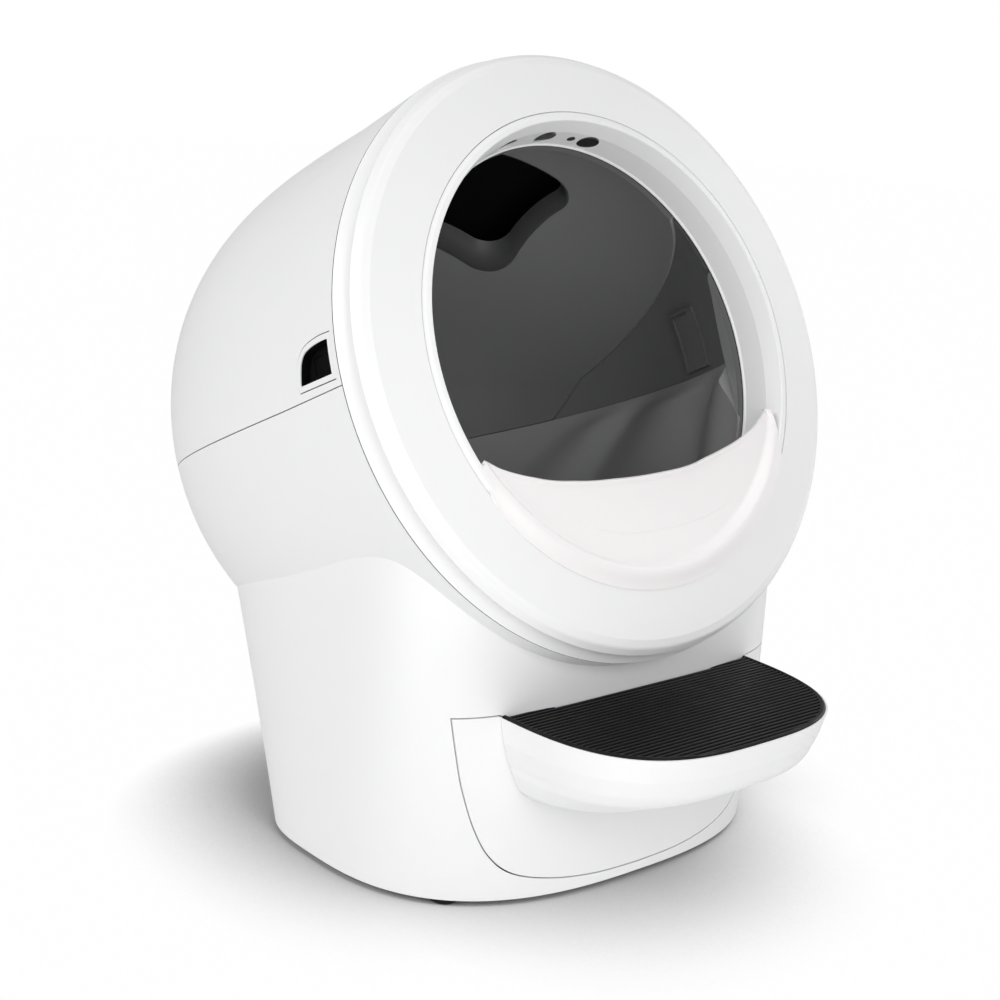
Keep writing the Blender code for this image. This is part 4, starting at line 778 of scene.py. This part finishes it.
def make_window(side, word):
    """White frame flush with the barrel and the black cup behind it."""
    face = side_face(LATCH, 0.0)
    skin = cut(outer_barrel(), barrel_solid(FRAME_DEPTH, OVERRUN))
    surround = common(skin, latch_block(side, FRAME_BAND, face - OVERRUN, face + OVERRUN))
    surround = cut(surround, latch_block(side, 0, face - OVERRUN, face + OVERRUN))
    piece("window_frame_" + word, tilted(surround), "bonnet", "white_plastic",
          ["latch_housing_" + word], fields=skins(barrel_field, 0.0, FRAME_DEPTH))
    cup = latch_block(side, CUP_WALL, face - CUP_DEPTH, face + OVERRUN)
    cup = cut(cup, latch_block(side, -CUP_SLACK, face - CUP_DEPTH - OVERRUN, face + OVERRUN))
    cup = common(cup, barrel_solid(FRAME_DEPTH + SEAM, RIM_REAR))
    piece("window_cup_" + word, tilted(cup), "bonnet", "black_plastic", finish="cup")


def make_paddle(side, word):
    """The black paddle that a finger pushes through the window, with a shallow hollow for the finger."""
    outer = side_face(LATCH, 0.0) - PADDLE_SINK
    hollow = [(side * tangent, place) for tangent, place in box_outline(*GRIP)]
    paddle = cut(latch_block(side, -PADDLE_GAP, outer - PADDLE_THICKNESS, outer),
                 moved(prism(hollow, outer - GRIP_DEPTH, outer + OVERRUN, 0), latch_frame(side)))
    softened(piece("push_paddle_" + word, tilted(paddle), "latch_" + word, "black_plastic",
                   ["latch_paddle_" + word], "cup"))


def make_latches():
    for side, word in ((1, "right"), (-1, "left")):
        make_window(side, word)
        make_paddle(side, word)


# Front ring

SKIRT_LOW = 0.2774
SKIRT_PLACE = -0.0075
SKIRT_DEPTH = 0.0115
SHOULDER_WIDTH = 0.0019
SHOULDER_DEPTH = 0.0069


def make_bezel():
    """Cover ring: a hollowed skirt that flares to a crisp rim, a soft shoulder and the flat face."""
    outer = []
    for share in (1.0, 0.85, 0.7, 0.55, 0.4, 0.25, 0.12, 0.0):
        flare = (BARREL_RADIUS - SKIRT_LOW) * share ** 1.6
        outer.append((SKIRT_LOW + flare, SKIRT_PLACE - SKIRT_DEPTH * share, 0))
    for share in (0.3, 0.55, 0.8, 1.0):
        outer.append((SKIRT_LOW + SHOULDER_WIDTH * share ** 2, SKIRT_PLACE + SHOULDER_DEPTH * share, 0))
    corners = outer + [
        (0.2796, 0.0, 0.0004), (0.2748, 0.0074, 0.0070), (0.2673, 0.0109, 0.0004),
        (0.2195, 0.0173, 0.0006), (0.2195, 0.0112, 0), (0.2225, 0.0112, 0),
        (0.2225, 0.0144, 0), (0.2659, 0.0081, 0), (0.2705, 0.0050, 0), (0.2745, -0.0060, 0),
        (0.2814, -0.0190, 0),
    ]
    ring = tilted(turned(filleted(corners)))
    piece("front_bezel", ring, "bezel", "white_plastic", ["bezel_ring"], smooth=24)


# Curtain sensors in the throat's top: angle from straight up in degrees, and radius; all at one place
SENSORS = ((-17.0, 0.0108), (-3.0, 0.0108), (6.2, 0.0040), (12.0, 0.0106))
SENSOR_PLACE = -0.0085
SENSOR_HOLE = (0.182, 0.215)
LENS_THICKNESS = 0.0022
THROAT_RADIUS = 0.2052
THROAT_FRONT = 0.0028
THROAT_LENGTH = 0.0267
THROAT_TAPER = 0.0028


def sensor_rods(extra, low, high):
    for angle, radius in SENSORS:
        place = turn(-angle, "Z") @ Matrix.Translation((0, 0, SENSOR_PLACE))
        outline = [(0, low), (radius * 0.6, low), (radius + extra, low), (radius + extra, high), (0, high)]
        yield moved(turned(outline, 48), place @ turn(-90, "X"))


def make_entry_ring():
    corners = [
        (0.2190, 0.0166, 0.0004), (0.2150, 0.0187, 0.0030), (0.2104, 0.0195, 0.0014),
        (THROAT_RADIUS, THROAT_FRONT, 0.0008), (0.2027, -0.0213, 0.0006), (0.2013, -0.0227, 0.0004),
        (0.2013, -0.0239, 0.0003), (0.2052, -0.0239, 0), (0.2080, 0.0028, 0), (0.2126, 0.0148, 0),
        (0.2161, 0.0148, 0), (0.2161, 0.0112, 0), (0.2190, 0.0112, 0),
    ]
    ring = cut(turned(filleted(corners)), *sensor_rods(SEAM, *SENSOR_HOLE))
    piece("entry_surround", tilted(ring), "bezel", "white_plastic", ["entry_ring"])
    low = THROAT_RADIUS - THROAT_TAPER * (THROAT_FRONT - SENSOR_PLACE) / THROAT_LENGTH
    for number, lens in enumerate(sensor_rods(0, low - SEAM, low + LENS_THICKNESS), 1):
        piece(f"curtain_lens_{number}", tilted(lens), "bezel", "black_plastic",
              [f"sensor_window_{number}"], "lens")


# Fence outline by angle from straight down, in degrees: outer edge, and the top edge over the litter
FENCE_OUTER = ((-64.2, 0.2075), (-62.0, 0.2125), (-59.6, 0.2166), (-56.4, 0.2204), (-52.0, 0.2228),
               (-42.0, 0.2238), (0.0, 0.2238), (42.0, 0.2238), (50.0, 0.2230), (54.5, 0.2212),
               (57.5, 0.2180), (60.5, 0.2128), (64.5, 0.2050), (67.8, 0.1965))
FENCE_TOP = ((-64.2, 0.2045), (-62.8, 0.1980), (-59.8, 0.1914), (-54.4, 0.1783), (-48.5, 0.1653),
             (-34.1, 0.1407), (-14.5, 0.1233), (9.5, 0.1209), (33.3, 0.1359), (44.2, 0.1492),
             (53.9, 0.1668), (61.2, 0.1822), (67.8, 0.1947))
FENCE_PLATE = 0.0135
FENCE_RIM = 0.0232
FENCE_RIM_AT_ENDS = 0.0188
FENCE_EDGE = 0.0178
FENCE_THICKNESS = 0.0022
FENCE_STEPS = 200
FENCE_ENDS = (44.0, 63.0)
FENCE_HOOK = (0.1972, 0.2060)
FENCE_DISH = 0.0016
FENCE_DISH_RADII = ((0.118, 0.150), (0.150, 0.200))
FLANGE_START = 0.2085
HOOK_INSIDE = 0.2070
HOOK_FLOOR = 0.0190
FENCE_LIP = 0.0065
FENCE_LIP_RISE = 0.0016
# The crease's radius by angle; it fades towards CREASE_END and comes back to the plate above itself
CREASE = ((-38.0, 0.1800), (-20.0, 0.1738), (0.0, 0.1700), (13.3, 0.1733), (31.3, 0.1847), (38.0, 0.1890))
CREASE_DEPTH = 0.0006
CREASE_END = 40.0
CREASE_FADE = (2.0, 16.0)
CREASE_RETURN = (0.010, 0.024)
CREASE_STEP = (-0.0004, 0.0006)


def fence_face(radius, angle, outer):
    """Height of the front face: the plate, the rim that hooks over the entry and the sloping flange."""
    top = curve_value(FENCE_TOP, angle)
    ends = eased(abs(angle), *FENCE_ENDS)
    rim = FENCE_RIM + (FENCE_RIM_AT_ENDS - FENCE_RIM) * ends
    height = FENCE_PLATE + (rim - FENCE_PLATE) * eased(radius, *FENCE_HOOK)
    inside, outside = FENCE_DISH_RADII
    height -= FENCE_DISH * (1 - eased(radius, *outside)) * eased(radius, *inside)
    height += (FENCE_EDGE - rim) * eased(radius, FLANGE_START, outer)
    crease = curve_value(CREASE, angle)
    lip = (radius - top) / FENCE_LIP
    if 0 < lip < 1:
        height += FENCE_LIP_RISE * (1 - ends) * (27 / 4) * lip * (1 - lip) ** 2
    depth = CREASE_DEPTH * eased(CREASE_END - abs(angle), *CREASE_FADE)
    depth *= 1 - eased(radius, *(crease + reach for reach in CREASE_RETURN))
    return height - depth * eased(radius, *(crease + reach for reach in CREASE_STEP))


def fence_section(angle):
    """Closed section of the fence at one angle, as (radius, height) points."""
    top, outer = curve_value(FENCE_TOP, angle), curve_value(FENCE_OUTER, angle)
    crease = min(max(curve_value(CREASE, angle), top + 0.0085), outer - 0.004)
    start, end = top + FENCE_THICKNESS / 2, outer - 0.0006
    front = [start + FENCE_LIP * k / 10 for k in range(10)]
    front += [start + FENCE_LIP + (crease - 0.0008 - start - FENCE_LIP) * k / 14 for k in range(14)]
    front += [crease - 0.0008 + 0.0018 * k / 5 for k in range(6)]
    front += [crease + 0.0010 + (end - crease - 0.0010) * k / 34 for k in range(1, 35)]
    face = [(radius, fence_face(radius, angle, outer)) for radius in front]
    lowest = FENCE_EDGE - 0.0008
    back = []
    for radius, height in reversed(face):
        under = height - FENCE_THICKNESS
        if radius > HOOK_INSIDE:
            under = max(under, min(HOOK_FLOOR, height - 0.0006), lowest - 0.0004)
        back.append((radius, under))
    edge = [(outer, FENCE_EDGE - 0.0002), (outer, lowest)]
    rounding = []
    for k in range(1, 6):
        bend = math.pi * k / 6
        rounding.append((start - math.sin(bend) * FENCE_THICKNESS / 2,
                         face[0][1] - FENCE_THICKNESS / 2 * (1 + math.cos(bend))))
    return face + edge + back + rounding[::-1]


def make_fence():
    rows = []
    first, last = FENCE_TOP[0][0], FENCE_TOP[-1][0]
    for k in range(FENCE_STEPS + 1):
        angle = first + (last - first) * k / FENCE_STEPS
        s, c = math.sin(math.radians(angle)), math.cos(math.radians(angle))
        rows.append([(radius * s, -radius * c, height) for radius, height in fence_section(angle)])
    piece("litter_guard", tilted(lofted(rows)), "fence", "fence_plastic", ["litter_fence"], smooth=40)


# Globe

def globe_arc(radius, front, back, steps=48):
    """Section of a sphere about the globe's centre between two depths."""
    first = math.acos(min(max((GLOBE_CENTRE - front) / radius, -1), 1))
    last = math.acos(min(max((GLOBE_CENTRE - back) / radius, -1), 1))
    points = []
    for k in range(steps + 1):
        angle = first + (last - first) * k / steps
        across = radius * math.sin(angle) if angle < math.pi - 1e-6 else 0
        points.append((across, radius * math.cos(angle) - GLOBE_CENTRE))
    return points


def globe_band(inner, outer, front, back, steps=48):
    return turned(globe_arc(outer, front, back, steps) + globe_arc(inner, front, back, steps)[::-1])


# The port's neck by share, from its mouth at the globe's outer skin (0) to its soft edge inside (1)
PORT_NECK = ((0.0, 0.2505), (0.06, 0.2485), (0.14, 0.2463), (0.26, 0.2441), (0.42, 0.2424),
             (0.60, 0.2413), (0.80, 0.2408), (0.95, 0.2410), (1.06, 0.2416))
PORT_EDGE = 1.06
PORT_REACH = (0.08, 0.3)
# Each at the mouth and how much it grows towards the edge: half width, corner radius, rear and front place
PORT_WIDE = (0.1425, 0.0085)
PORT_CORNER = (0.030, 0.008)
PORT_REAR = (-0.279, -0.018)
PORT_FRONT = (-0.139, 0.002)


def port_outline(share, slack=0.0):
    """The waste port's outline in (x, place); it grows to the sides and to the rear with the share."""
    wide, corner, low, high = (a + b * share for a, b in (PORT_WIDE, PORT_CORNER, PORT_REAR, PORT_FRONT))
    wide, corner, low, high = wide + slack, corner + slack, low - slack, high + slack
    points = []
    for x, y, start in ((wide, high, 0), (-wide, high, 1), (-wide, low, 2), (wide, low, 3)):
        middle = (x - math.copysign(corner, x), y - corner if y == high else y + corner)
        for k in range(13):
            angle = math.pi / 2 * (start + k / 12)
            points.append((middle[0] + corner * math.cos(angle), middle[1] + corner * math.sin(angle)))
        if y == high and x > 0 or y == low and x < 0:
            to = -middle[0]
            points += [(middle[0] + (to - middle[0]) * k / 24, y) for k in range(1, 24)]
        else:
            to = low + corner if y == high else high - corner
            points += [(x, middle[1] + (to - middle[1]) * k / 12) for k in range(1, 12)]
    return points


def port_block():
    """Block through the globe's top with the outline of the port frame's edge."""
    return prism(port_outline(PORT_EDGE, SEAM), *PORT_REACH, 1)


def globe_field(points, inset):
    away = points - np.array(GLOBE_FRAME @ Vector((0, 0, -GLOBE_CENTRE)))
    size = np.linalg.norm(away, axis=1) + 1e-9
    return size - GLOBE_RADIUS + inset, away / size[:, None]


def make_globe():
    for above, word in ((True, "upper"), (False, "lower")):
        half = globe_band(GLOBE_RADIUS - GLOBE_WALL, GLOBE_RADIUS, GLOBE_FRONT, GLOBE_REAR)
        half = common(half, beside(-GLOBE_SEAM + (SEAM / 2 if above else -SEAM / 2), above))
        if above:
            half = cut(half, port_block())
        piece("globe_half_" + word, tilted(half), "globe", "dark_plastic", ["globe_" + word],
              fields=skins(globe_field, 0.0, GLOBE_WALL))


def lining(extra, front, back):
    """Thin inner wall between two depths; at the entry it flares to a lip behind the entry ring."""
    if front > LINING_FRONT:
        return globe_band(LINING_OUTER - LINING - extra, LINING_OUTER, front, back)
    rim = [(LIP_RADIUS, -front), (LIP_OUTER, -front)]
    outer = globe_arc(LINING_OUTER, LIP_OUTER_DEPTH, back)
    return turned(rim + outer + globe_arc(LINING_OUTER - LINING, LIP_DEPTH, back)[::-1])


def lining_skins(extra):
    return skins(globe_field, GLOBE_WALL + SEAM, GLOBE_WALL + SEAM + LINING + extra)


def make_port_frame():
    """Funnel round the waste port: each of its rings lies on a sphere about the globe's centre."""
    section = list(PORT_NECK) + [(PORT_EDGE, 0.2440), (PORT_EDGE, 0.2505)]
    rows = []
    for share, radius in section:
        row = []
        for x, place in port_outline(share):
            row.append((x, math.sqrt(radius ** 2 - x ** 2 - (place + GLOBE_CENTRE) ** 2), place))
        rows.append(row)
    ring = tilted(lofted(rows, capped=False))
    piece("port_surround", ring, "globe", "dark_plastic", ["port_frame"], "port", smooth=50)


# The upper lining's lower edge on each side: slope and height of its two straight stretches
LINING_EDGE = ((0.44, 0.1430), (1.0, 0.2942))


def under_lining_edge(reach=0.9):
    """Everything under the slanting lower edge of the upper lining, in the globe's frame."""
    parts = []
    for slope, height in LINING_EDGE:
        lean = Matrix.Rotation(math.pi / 2 - math.atan(slope), 4, "X")
        part = block((-reach, -reach, 0), (reach, reach, reach))
        parts.append(moved(part, Matrix.Translation((0, height, 0)) @ lean))
    return common(*parts)


def make_lining():
    panel = cut(lining(0, LINING_FRONT, GLOBE_REAR), under_lining_edge())
    panel = cut(common(panel, beside(-GLOBE_SEAM + SEAM, True)), port_block())
    item = piece("inner_lining", tilted(panel), "globe", "dark_plastic", ["inner_panel"], "lining",
                 fields=lining_skins(0))
    painted_shade_inside(item, 0, -LINING_FRONT)


# The liner's two shallow valleys on each side: place by height, and how far the folds between them swell
VALLEY_FRONT = ((-0.140, -0.1330), (-0.0948, -0.1285), (-0.0684, -0.1211), (-0.0450, -0.1079),
                (-0.0258, -0.0897), (-0.0100, -0.0760))
VALLEY_REAR = ((-0.140, -0.2900), (-0.0859, -0.2669), (-0.0746, -0.2601), (-0.0562, -0.2466),
               (-0.0385, -0.2297), (-0.0251, -0.2125), (-0.0100, -0.1960))
FOLD_SWELL = 0.0190
VALLEY_SOFTNESS = 0.03
LINER_FRONT = 0.0280
LINER_SEAM = 0.0006
# Where the cuff's rear edge lies: its place at the entry's middle height, how fast it comes forward,
# the place where it ends, and the heights in millimetres at which its curve has points
CUFF_DEPTH = -0.0572
CUFF_CURVE = 5.5
CUFF_END = -0.0275
CUFF_HEIGHTS = range(74, -76, -3)


def fold(x, v, s):
    """How far the liner's inner side swells inwards at a point of the globe's frame."""
    front, rear = curve_value(VALLEY_FRONT, v), curve_value(VALLEY_REAR, v)
    phase = (s - front) / (rear - front)
    fade = eased(phase, -0.75, -0.20) * (1 - eased(phase, 1.15, 1.7))
    sides = eased(abs(x), 0.09, 0.17) * (1 - eased(-v, 0.10, 0.15)) * eased(-v, GLOBE_SEAM, 0.034)
    wave = math.sqrt(math.sin(math.pi * phase) ** 2 + VALLEY_SOFTNESS) - math.sqrt(VALLEY_SOFTNESS)
    return FOLD_SWELL * fade * sides * wave


def make_liner():
    liner = globe_band(LINING_OUTER - LINING, LINING_OUTER, LINER_FRONT, GLOBE_REAR, 110)
    liner = cut(common(liner, beside(-GLOBE_SEAM - LINER_SEAM, False)), cuff_block(0))
    centre = Vector((0, 0, -GLOBE_CENTRE))
    for vertex in liner.vertices:
        away = vertex.co - centre
        if away.length < LINING_OUTER - LINING / 2:
            vertex.co -= away.normalized() * fold(*vertex.co)
    piece("litter_liner", tilted(liner), "globe", "liner_rubber", ["globe_liner"], smooth=40)


def cuff_block(offset):
    """Block in front of the line where the entry cuff meets the litter liner: a crescent on each side."""
    curve = []
    for v in CUFF_HEIGHTS:
        curve.append((v / 1000, min(CUFF_DEPTH + CUFF_CURVE * (v / 1000) ** 2, CUFF_END) + offset))
    return prism(curve + [(-0.3, CUFF_END + offset), (-0.3, 0.05), (0.074, 0.05)], -0.5, 0.5, 0)


def make_cuff():
    band = common(lining(0, LINING_FRONT, 0.0650), cuff_block(SEAM))
    item = piece("entry_cuff", tilted(band), "globe", "inner_plastic", ["entry_collar"],
                 fields=lining_skins(0))
    painted_shade_inside(item, 0, -LINING_FRONT)


# The tab stands between two depths and two heights, and its bead rises above it
TAB_DEPTHS = (0.0935, 0.1320)
TAB_HEIGHTS = (0.006 - GLOBE_SEAM, 0.0575)
TAB_BEAD = 0.0014
TAB_BEAD_DEPTHS = (0.1290, 0.1000)
TAB_BEAD_LOW = 0.0545


def make_tab():
    """Low tab on the globe's right wall, with a raised bead along its rear and top edges."""
    front, rear = TAB_DEPTHS
    low, high = TAB_HEIGHTS
    upright, along = TAB_BEAD_DEPTHS
    boxes = (SEAM, front, low), (TAB_BEAD, upright, low), (TAB_BEAD, along, TAB_BEAD_LOW)
    parts = []
    for extra, start, bottom in boxes:
        parts.append(common(lining(extra, start, rear), block((0, bottom, -0.5), (0.5, high, 0.5))))
    piece("wall_tab", tilted(fused(*parts)), "globe", "dark_plastic", ["globe_tab"],
          fields=lining_skins(SEAM) + lining_skins(TAB_BEAD))


# Drawer, step and mat

DRAWER_WALL = 0.004
DRAWER_START = -0.02


def make_drawer_front():
    panel = common(column_solid(0, DRAWER_START), drawer_block(SEAM))
    panel = cut(panel, column_solid(DRAWER_WALL, -OVERRUN))
    piece("drawer_face", panel, "drawer", "white_plastic", ["drawer_front"],
          fields=skins(column_field, 0.0, DRAWER_WALL))


STEP_ROUNDING = 2.95
# Step section from its floor up: half width, reach, height and how far the corner is rounded
STEP_SECTION = ((0.118, 0.0400, 0.0985, 0), (0.128, 0.0590, 0.0990, 0.012),
                (0.1390, 0.1055, 0.1085, 0.030), (0.1487, 0.1500, 0.1295, 0.030),
                (0.1556, 0.1602, 0.1555, 0.006), (0.1585, 0.1668, 0.1780, 0))
STEP_BACK = -0.030
INSIDE_BACK = -0.010
RECESS_TOP = 0.2

MAT_TOP = 0.1793
MAT_THICKNESS = 0.0040
MAT_HALF = 0.1573
MAT_REACH = 0.1642
MAT_BORDER = 0.0042
MAT_ROUNDING = 0.0012
MAT_ROUND_WIDTH = 0.0014
MAT_BEAD = 0.0008
RIB_PITCH = 0.0053
RIB_DEPTH = 0.0021
RIB_SHAPE = ((0.0, 0), (0.10, 0.25), (0.14, 1), (0.50, 1), (0.54, 0.25), (0.64, 0))
RIB_ENDS = 0.016
RIB_SLOPE = 0.0003


def step_outline(half, reach, back, steps=96):
    points = [(half, RING_Y + back)]
    for k in range(steps + 1):
        angle = math.pi * k / steps
        c, s = math.cos(angle), math.sin(angle)
        points.append((half * squared(c, STEP_ROUNDING), STEP_CENTRE_Y - reach * squared(s, STEP_ROUNDING)))
    points.append((-half, RING_Y + back))
    return points


def step_block(inset, lift, top, back):
    """The step from its floor to a height, as a full solid; the section's corners are rounded."""
    section = filleted([(reach, z, radius) for half, reach, z, radius in STEP_SECTION], 8, closed=False)
    halves, reaches = [row[0] for row in STEP_SECTION], [row[1] for row in STEP_SECTION]
    rings = []
    for reach, z in section:
        half = float(np.interp(reach, reaches, halves))
        if z < STEP_SECTION[-1][2] - 1e-6:
            ring = step_outline(half - inset, reach - inset, back)
            rings.append([(x, y, min(z + lift, top)) for x, y in ring])
    rings.append([(x, y, top) for x, y in step_outline(halves[-1] - inset, reaches[-1] - inset, back)])
    return lofted(rings)


def make_step():
    seat = MAT_TOP - MAT_THICKNESS - SEAM
    recess = step_outline(MAT_HALF + SEAM, MAT_REACH + SEAM, INSIDE_BACK)
    body = cut(step_block(0, 0, STEP_SECTION[-1][2], STEP_BACK),
               prism(recess, seat, RECESS_TOP),
               step_block(WALL, WALL, seat - WALL, INSIDE_BACK),
               column_solid(-SEAM, -OVERRUN))
    softened(piece("step_shell", body, "drawer", "white_plastic", ["step_body"], smooth=28), 60)


def mat_half(y, inset):
    """Half width of the mat's outline at a place along it."""
    share = (STEP_CENTRE_Y - y) / (MAT_REACH - inset)
    if share <= 0:
        return MAT_HALF - inset
    if share >= 1:
        return 0.0
    return (MAT_HALF - inset) * (1 - share ** STEP_ROUNDING) ** (1 / STEP_ROUNDING)


def mat_bead(distance):
    """Height of the bead that runs round the mat, by the distance from its edge."""
    share = (distance - MAT_ROUNDING) / (MAT_BORDER - MAT_ROUNDING)
    return MAT_BEAD * math.sin(math.pi * share) if 0 < share < 1 else 0.0


def mat_places(front, back):
    """Places along the mat with how deep the groove between two ribs is there, from 0 to 1."""
    ribs = []
    y = front + MAT_BORDER
    while y < back:
        ribs += [(y + RIB_PITCH * share, depth) for share, depth in RIB_SHAPE]
        y = front + MAT_BORDER + len(ribs) // len(RIB_SHAPE) * RIB_PITCH
    places = [(front + MAT_BORDER * (k / 16) ** 2 + 1e-6, 0) for k in range(16)] + ribs
    for k in range(1, 30):
        y = front + MAT_BORDER + RIB_ENDS * k / 30
        places.append((y, float(np.interp(y, [rib[0] for rib in ribs], [rib[1] for rib in ribs]))))
    return sorted(places)


def make_mat():
    """Mat with a rounded smooth border and ribs across it, from the drawer's face to the front edge."""
    front = STEP_CENTRE_Y - MAT_REACH
    rows = []
    for y, depth in mat_places(front, RING_Y + STEP_BACK):
        rim, inner = mat_half(y, 0), mat_half(y, MAT_BORDER)
        top = MAT_TOP - MAT_ROUNDING * (1 - eased(y, front, front + MAT_ROUND_WIDTH))
        level = top - RIB_DEPTH * depth
        side = [(rim, MAT_TOP - MAT_THICKNESS), (rim, top - MAT_ROUNDING)]
        for k in range(1, 5):
            angle = math.pi / 8 * k
            side.append((max(rim - MAT_ROUND_WIDTH * (1 - math.cos(angle)), inner),
                         top - MAT_ROUNDING * (1 - math.sin(angle))))
        start = side[-1][0]
        inner = min(inner, start)
        front_bead = mat_bead(y - front)
        for k in range(1, 8):
            x = start + (inner - start) * k / 8
            side.append((x, top + max(front_bead, mat_bead(rim - x))))
        side += [(inner, top + front_bead), (max(inner - RIB_SLOPE, 0), level + front_bead)]
        rows.append([(x, y, z) for x, z in side] + [(-x, y, z) for x, z in reversed(side)])
    mat = cut(lofted(rows), column_solid(-SEAM, -OVERRUN))
    piece("step_tread", mat, "drawer", "mat_rubber", ["step_mat"], smooth=30)


# The front feet stand further out and forward than in the CAD
FOOT_SHIFT = (0.0074, -0.0088)
FOOT_SECTION = ((0, 0, 0), (0.0125, 0, 0.0015), (0.014, 0.0022, 0.001), (0.014, 0.0072, 0), (0, 0.0072, 0))


def make_feet():
    for word in ("front_left", "front_right", "rear_left", "rear_right"):
        low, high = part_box("foot_" + word)
        middle = (low + high) / 2
        if word.startswith("front"):
            middle += Vector((math.copysign(FOOT_SHIFT[0], middle.x), FOOT_SHIFT[1], 0))
        foot = moved(turned(filleted(FOOT_SECTION), 64), Matrix.Translation((middle.x, middle.y, 0)))
        piece("rubber_foot_" + word, foot, "base", "mat_rubber", ["foot_" + word])


KEPT_FINISHES = {"ring_gear": "black_plastic"}


def finish_solids():
    """Gives every CAD solid its finish; their shapes stay as they are."""
    slots = {entry["node"]: entry["material_slot"] for entry in frame["record"]["subparts"]}
    for name, node in NODES.items():
        node.data.materials.clear()
        node.data.materials.append(FINISHES[KEPT_FINISHES.get(name, slots[name])].material)


# Stage, light and camera

WHITE = (1.0, 1.0, 1.0, 1.0)
FLOOR_HALF = 9
FLOOR_CORNER = 0.5
FLOOR_THICKNESS = 0.02
FLOOR_COLOUR = (0.86, 0.86, 0.86)
SHADE_COLOUR = (0.40, 0.40, 0.40, 1.0)
SHADOW_REACH = 0.16
SHADOW_LEAN = {"X": 0.0, "Y": -0.5, "Z": 0.866}
OPEN_SHARES = (0.44, 0.93)
AMBIENT = 0.46


def make_stage():
    """Floor that lights the object as pale plastic does; to the camera it is white with a soft shadow."""
    outline = box_outline(-FLOOR_HALF, FLOOR_HALF, -FLOOR_HALF, FLOOR_HALF, FLOOR_CORNER)
    floor = added("floor", prism(outline, -FLOOR_THICKNESS, 0))
    cover = Finish("white_floor", FLOOR_COLOUR, 0.9)
    cover.shader.inputs["Specular IOR Level"].default_value = 0.0
    seen = cover.node("LightPath", {}, {}, "Is Camera Ray")
    open_share = cover.node("AmbientOcclusion", {"samples": 16}, {
        "Distance": SHADOW_REACH, "Normal": cover.node("CombineXYZ", {}, SHADOW_LEAN)}, "AO")
    plain = cover.node("Emission", {}, {"Color": WHITE, "Strength": 1.0})
    shaded = cover.node("BsdfDiffuse", {}, {"Color": SHADE_COLOUR})
    share = cover.mapped(open_share, *OPEN_SHARES, 0.0, 1.0)
    near = cover.node("MixShader", {}, {0: share, 1: shaded, 2: plain})
    lit = Maths(cover, cover.shader.outputs[0])
    cover.end("Material Output", cover.node("MixShader", {}, {0: seen, 1: lit, 2: near}))
    floor.data.materials.append(cover.material)


# Lamps: place, width in metres, watts
LAMPS = {
    "left_high": ((-3.0, 0.0, 2.2), 1.6, 42.0),
    "front_near": ((-0.30, -1.25, 0.80), 0.5, 2.9),
    "overhead": ((0.0, 0.0, 3.2), 1.6, 9.5),
    "right_side": ((3.0, -0.3, 1.5), 1.6, 18.5),
    "front_low": ((-0.25, -1.10, 0.20), 0.4, 0.9),
    "front_left": ((-0.95, -0.95, 0.80), 0.5, 1.5),
    "near_low": ((-0.75, -0.95, 0.25), 0.5, 0.15),
    "right_low": ((1.4, -0.3, 0.3), 0.5, 0.8),
}
LAMP_AIM = (0.0, -0.05, 0.40)


def make_world():
    """White to the camera and behind glass, and a weaker even light on the object."""
    world = bpy.data.worlds.new("studio")
    bpy.context.scene.world = world
    world.use_nodes = True
    sky = Nodes(world.node_tree)
    sky.tree.nodes.remove(sky.tree.nodes["Background"])
    faint = sky.node("Background", {}, {"Color": WHITE, "Strength": AMBIENT})
    plain = sky.node("Background", {}, {"Color": WHITE, "Strength": 1.0})
    seen, glass = (sky.node("LightPath", {}, {}, f"Is {kind} Ray") for kind in ("Camera", "Transmission"))
    sky.end("World Output", sky.node("MixShader", {}, {0: seen + glass, 1: faint, 2: plain}))


def soft_lamp(name, place, width, watts):
    lamp = bpy.data.lights.new(name, "AREA")
    lamp.shape = "SQUARE"
    lamp.size = width
    lamp.energy = watts
    item = added(name, lamp)
    item.location = place
    item.rotation_euler = (Vector(LAMP_AIM) - Vector(place)).to_track_quat("-Z", "Y").to_euler()
    item.visible_camera = False


LENS = 64.8
CAMERA_PLACE = (-1.143221, RING_Y - 1.153369, 0.747139)
CAMERA_TURNS = ((-41.6766, "Z"), (90 - 14.3423, "X"), (4.0, "Z"))


def make_camera():
    """The photo's view: azimuth, elevation and roll, in this order."""
    camera = bpy.data.cameras.new("photo_view")
    camera.sensor_width = 36.0
    camera.lens = LENS
    camera.clip_start = 0.05
    camera.clip_end = 50.0
    pose = Matrix.Translation(CAMERA_PLACE)
    for angle, axis in CAMERA_TURNS:
        pose = pose @ turn(angle, axis)
    item = added("photo_view", camera)
    item.matrix_world = pose
    bpy.context.scene.camera = item


def light_scene():
    make_stage()
    make_world()
    for name, (place, width, watts) in LAMPS.items():
        soft_lamp(name, place, width, watts)
    bpy.context.scene.view_settings.view_transform = "Standard"


make_base_shell()
make_bonnet()
make_latches()
make_bezel()
make_entry_ring()
make_fence()
make_globe()
make_port_frame()
make_lining()
make_liner()
make_cuff()
make_tab()
make_drawer_front()
make_step()
make_mat()
make_feet()
finish_solids()
light_scene()
make_camera()
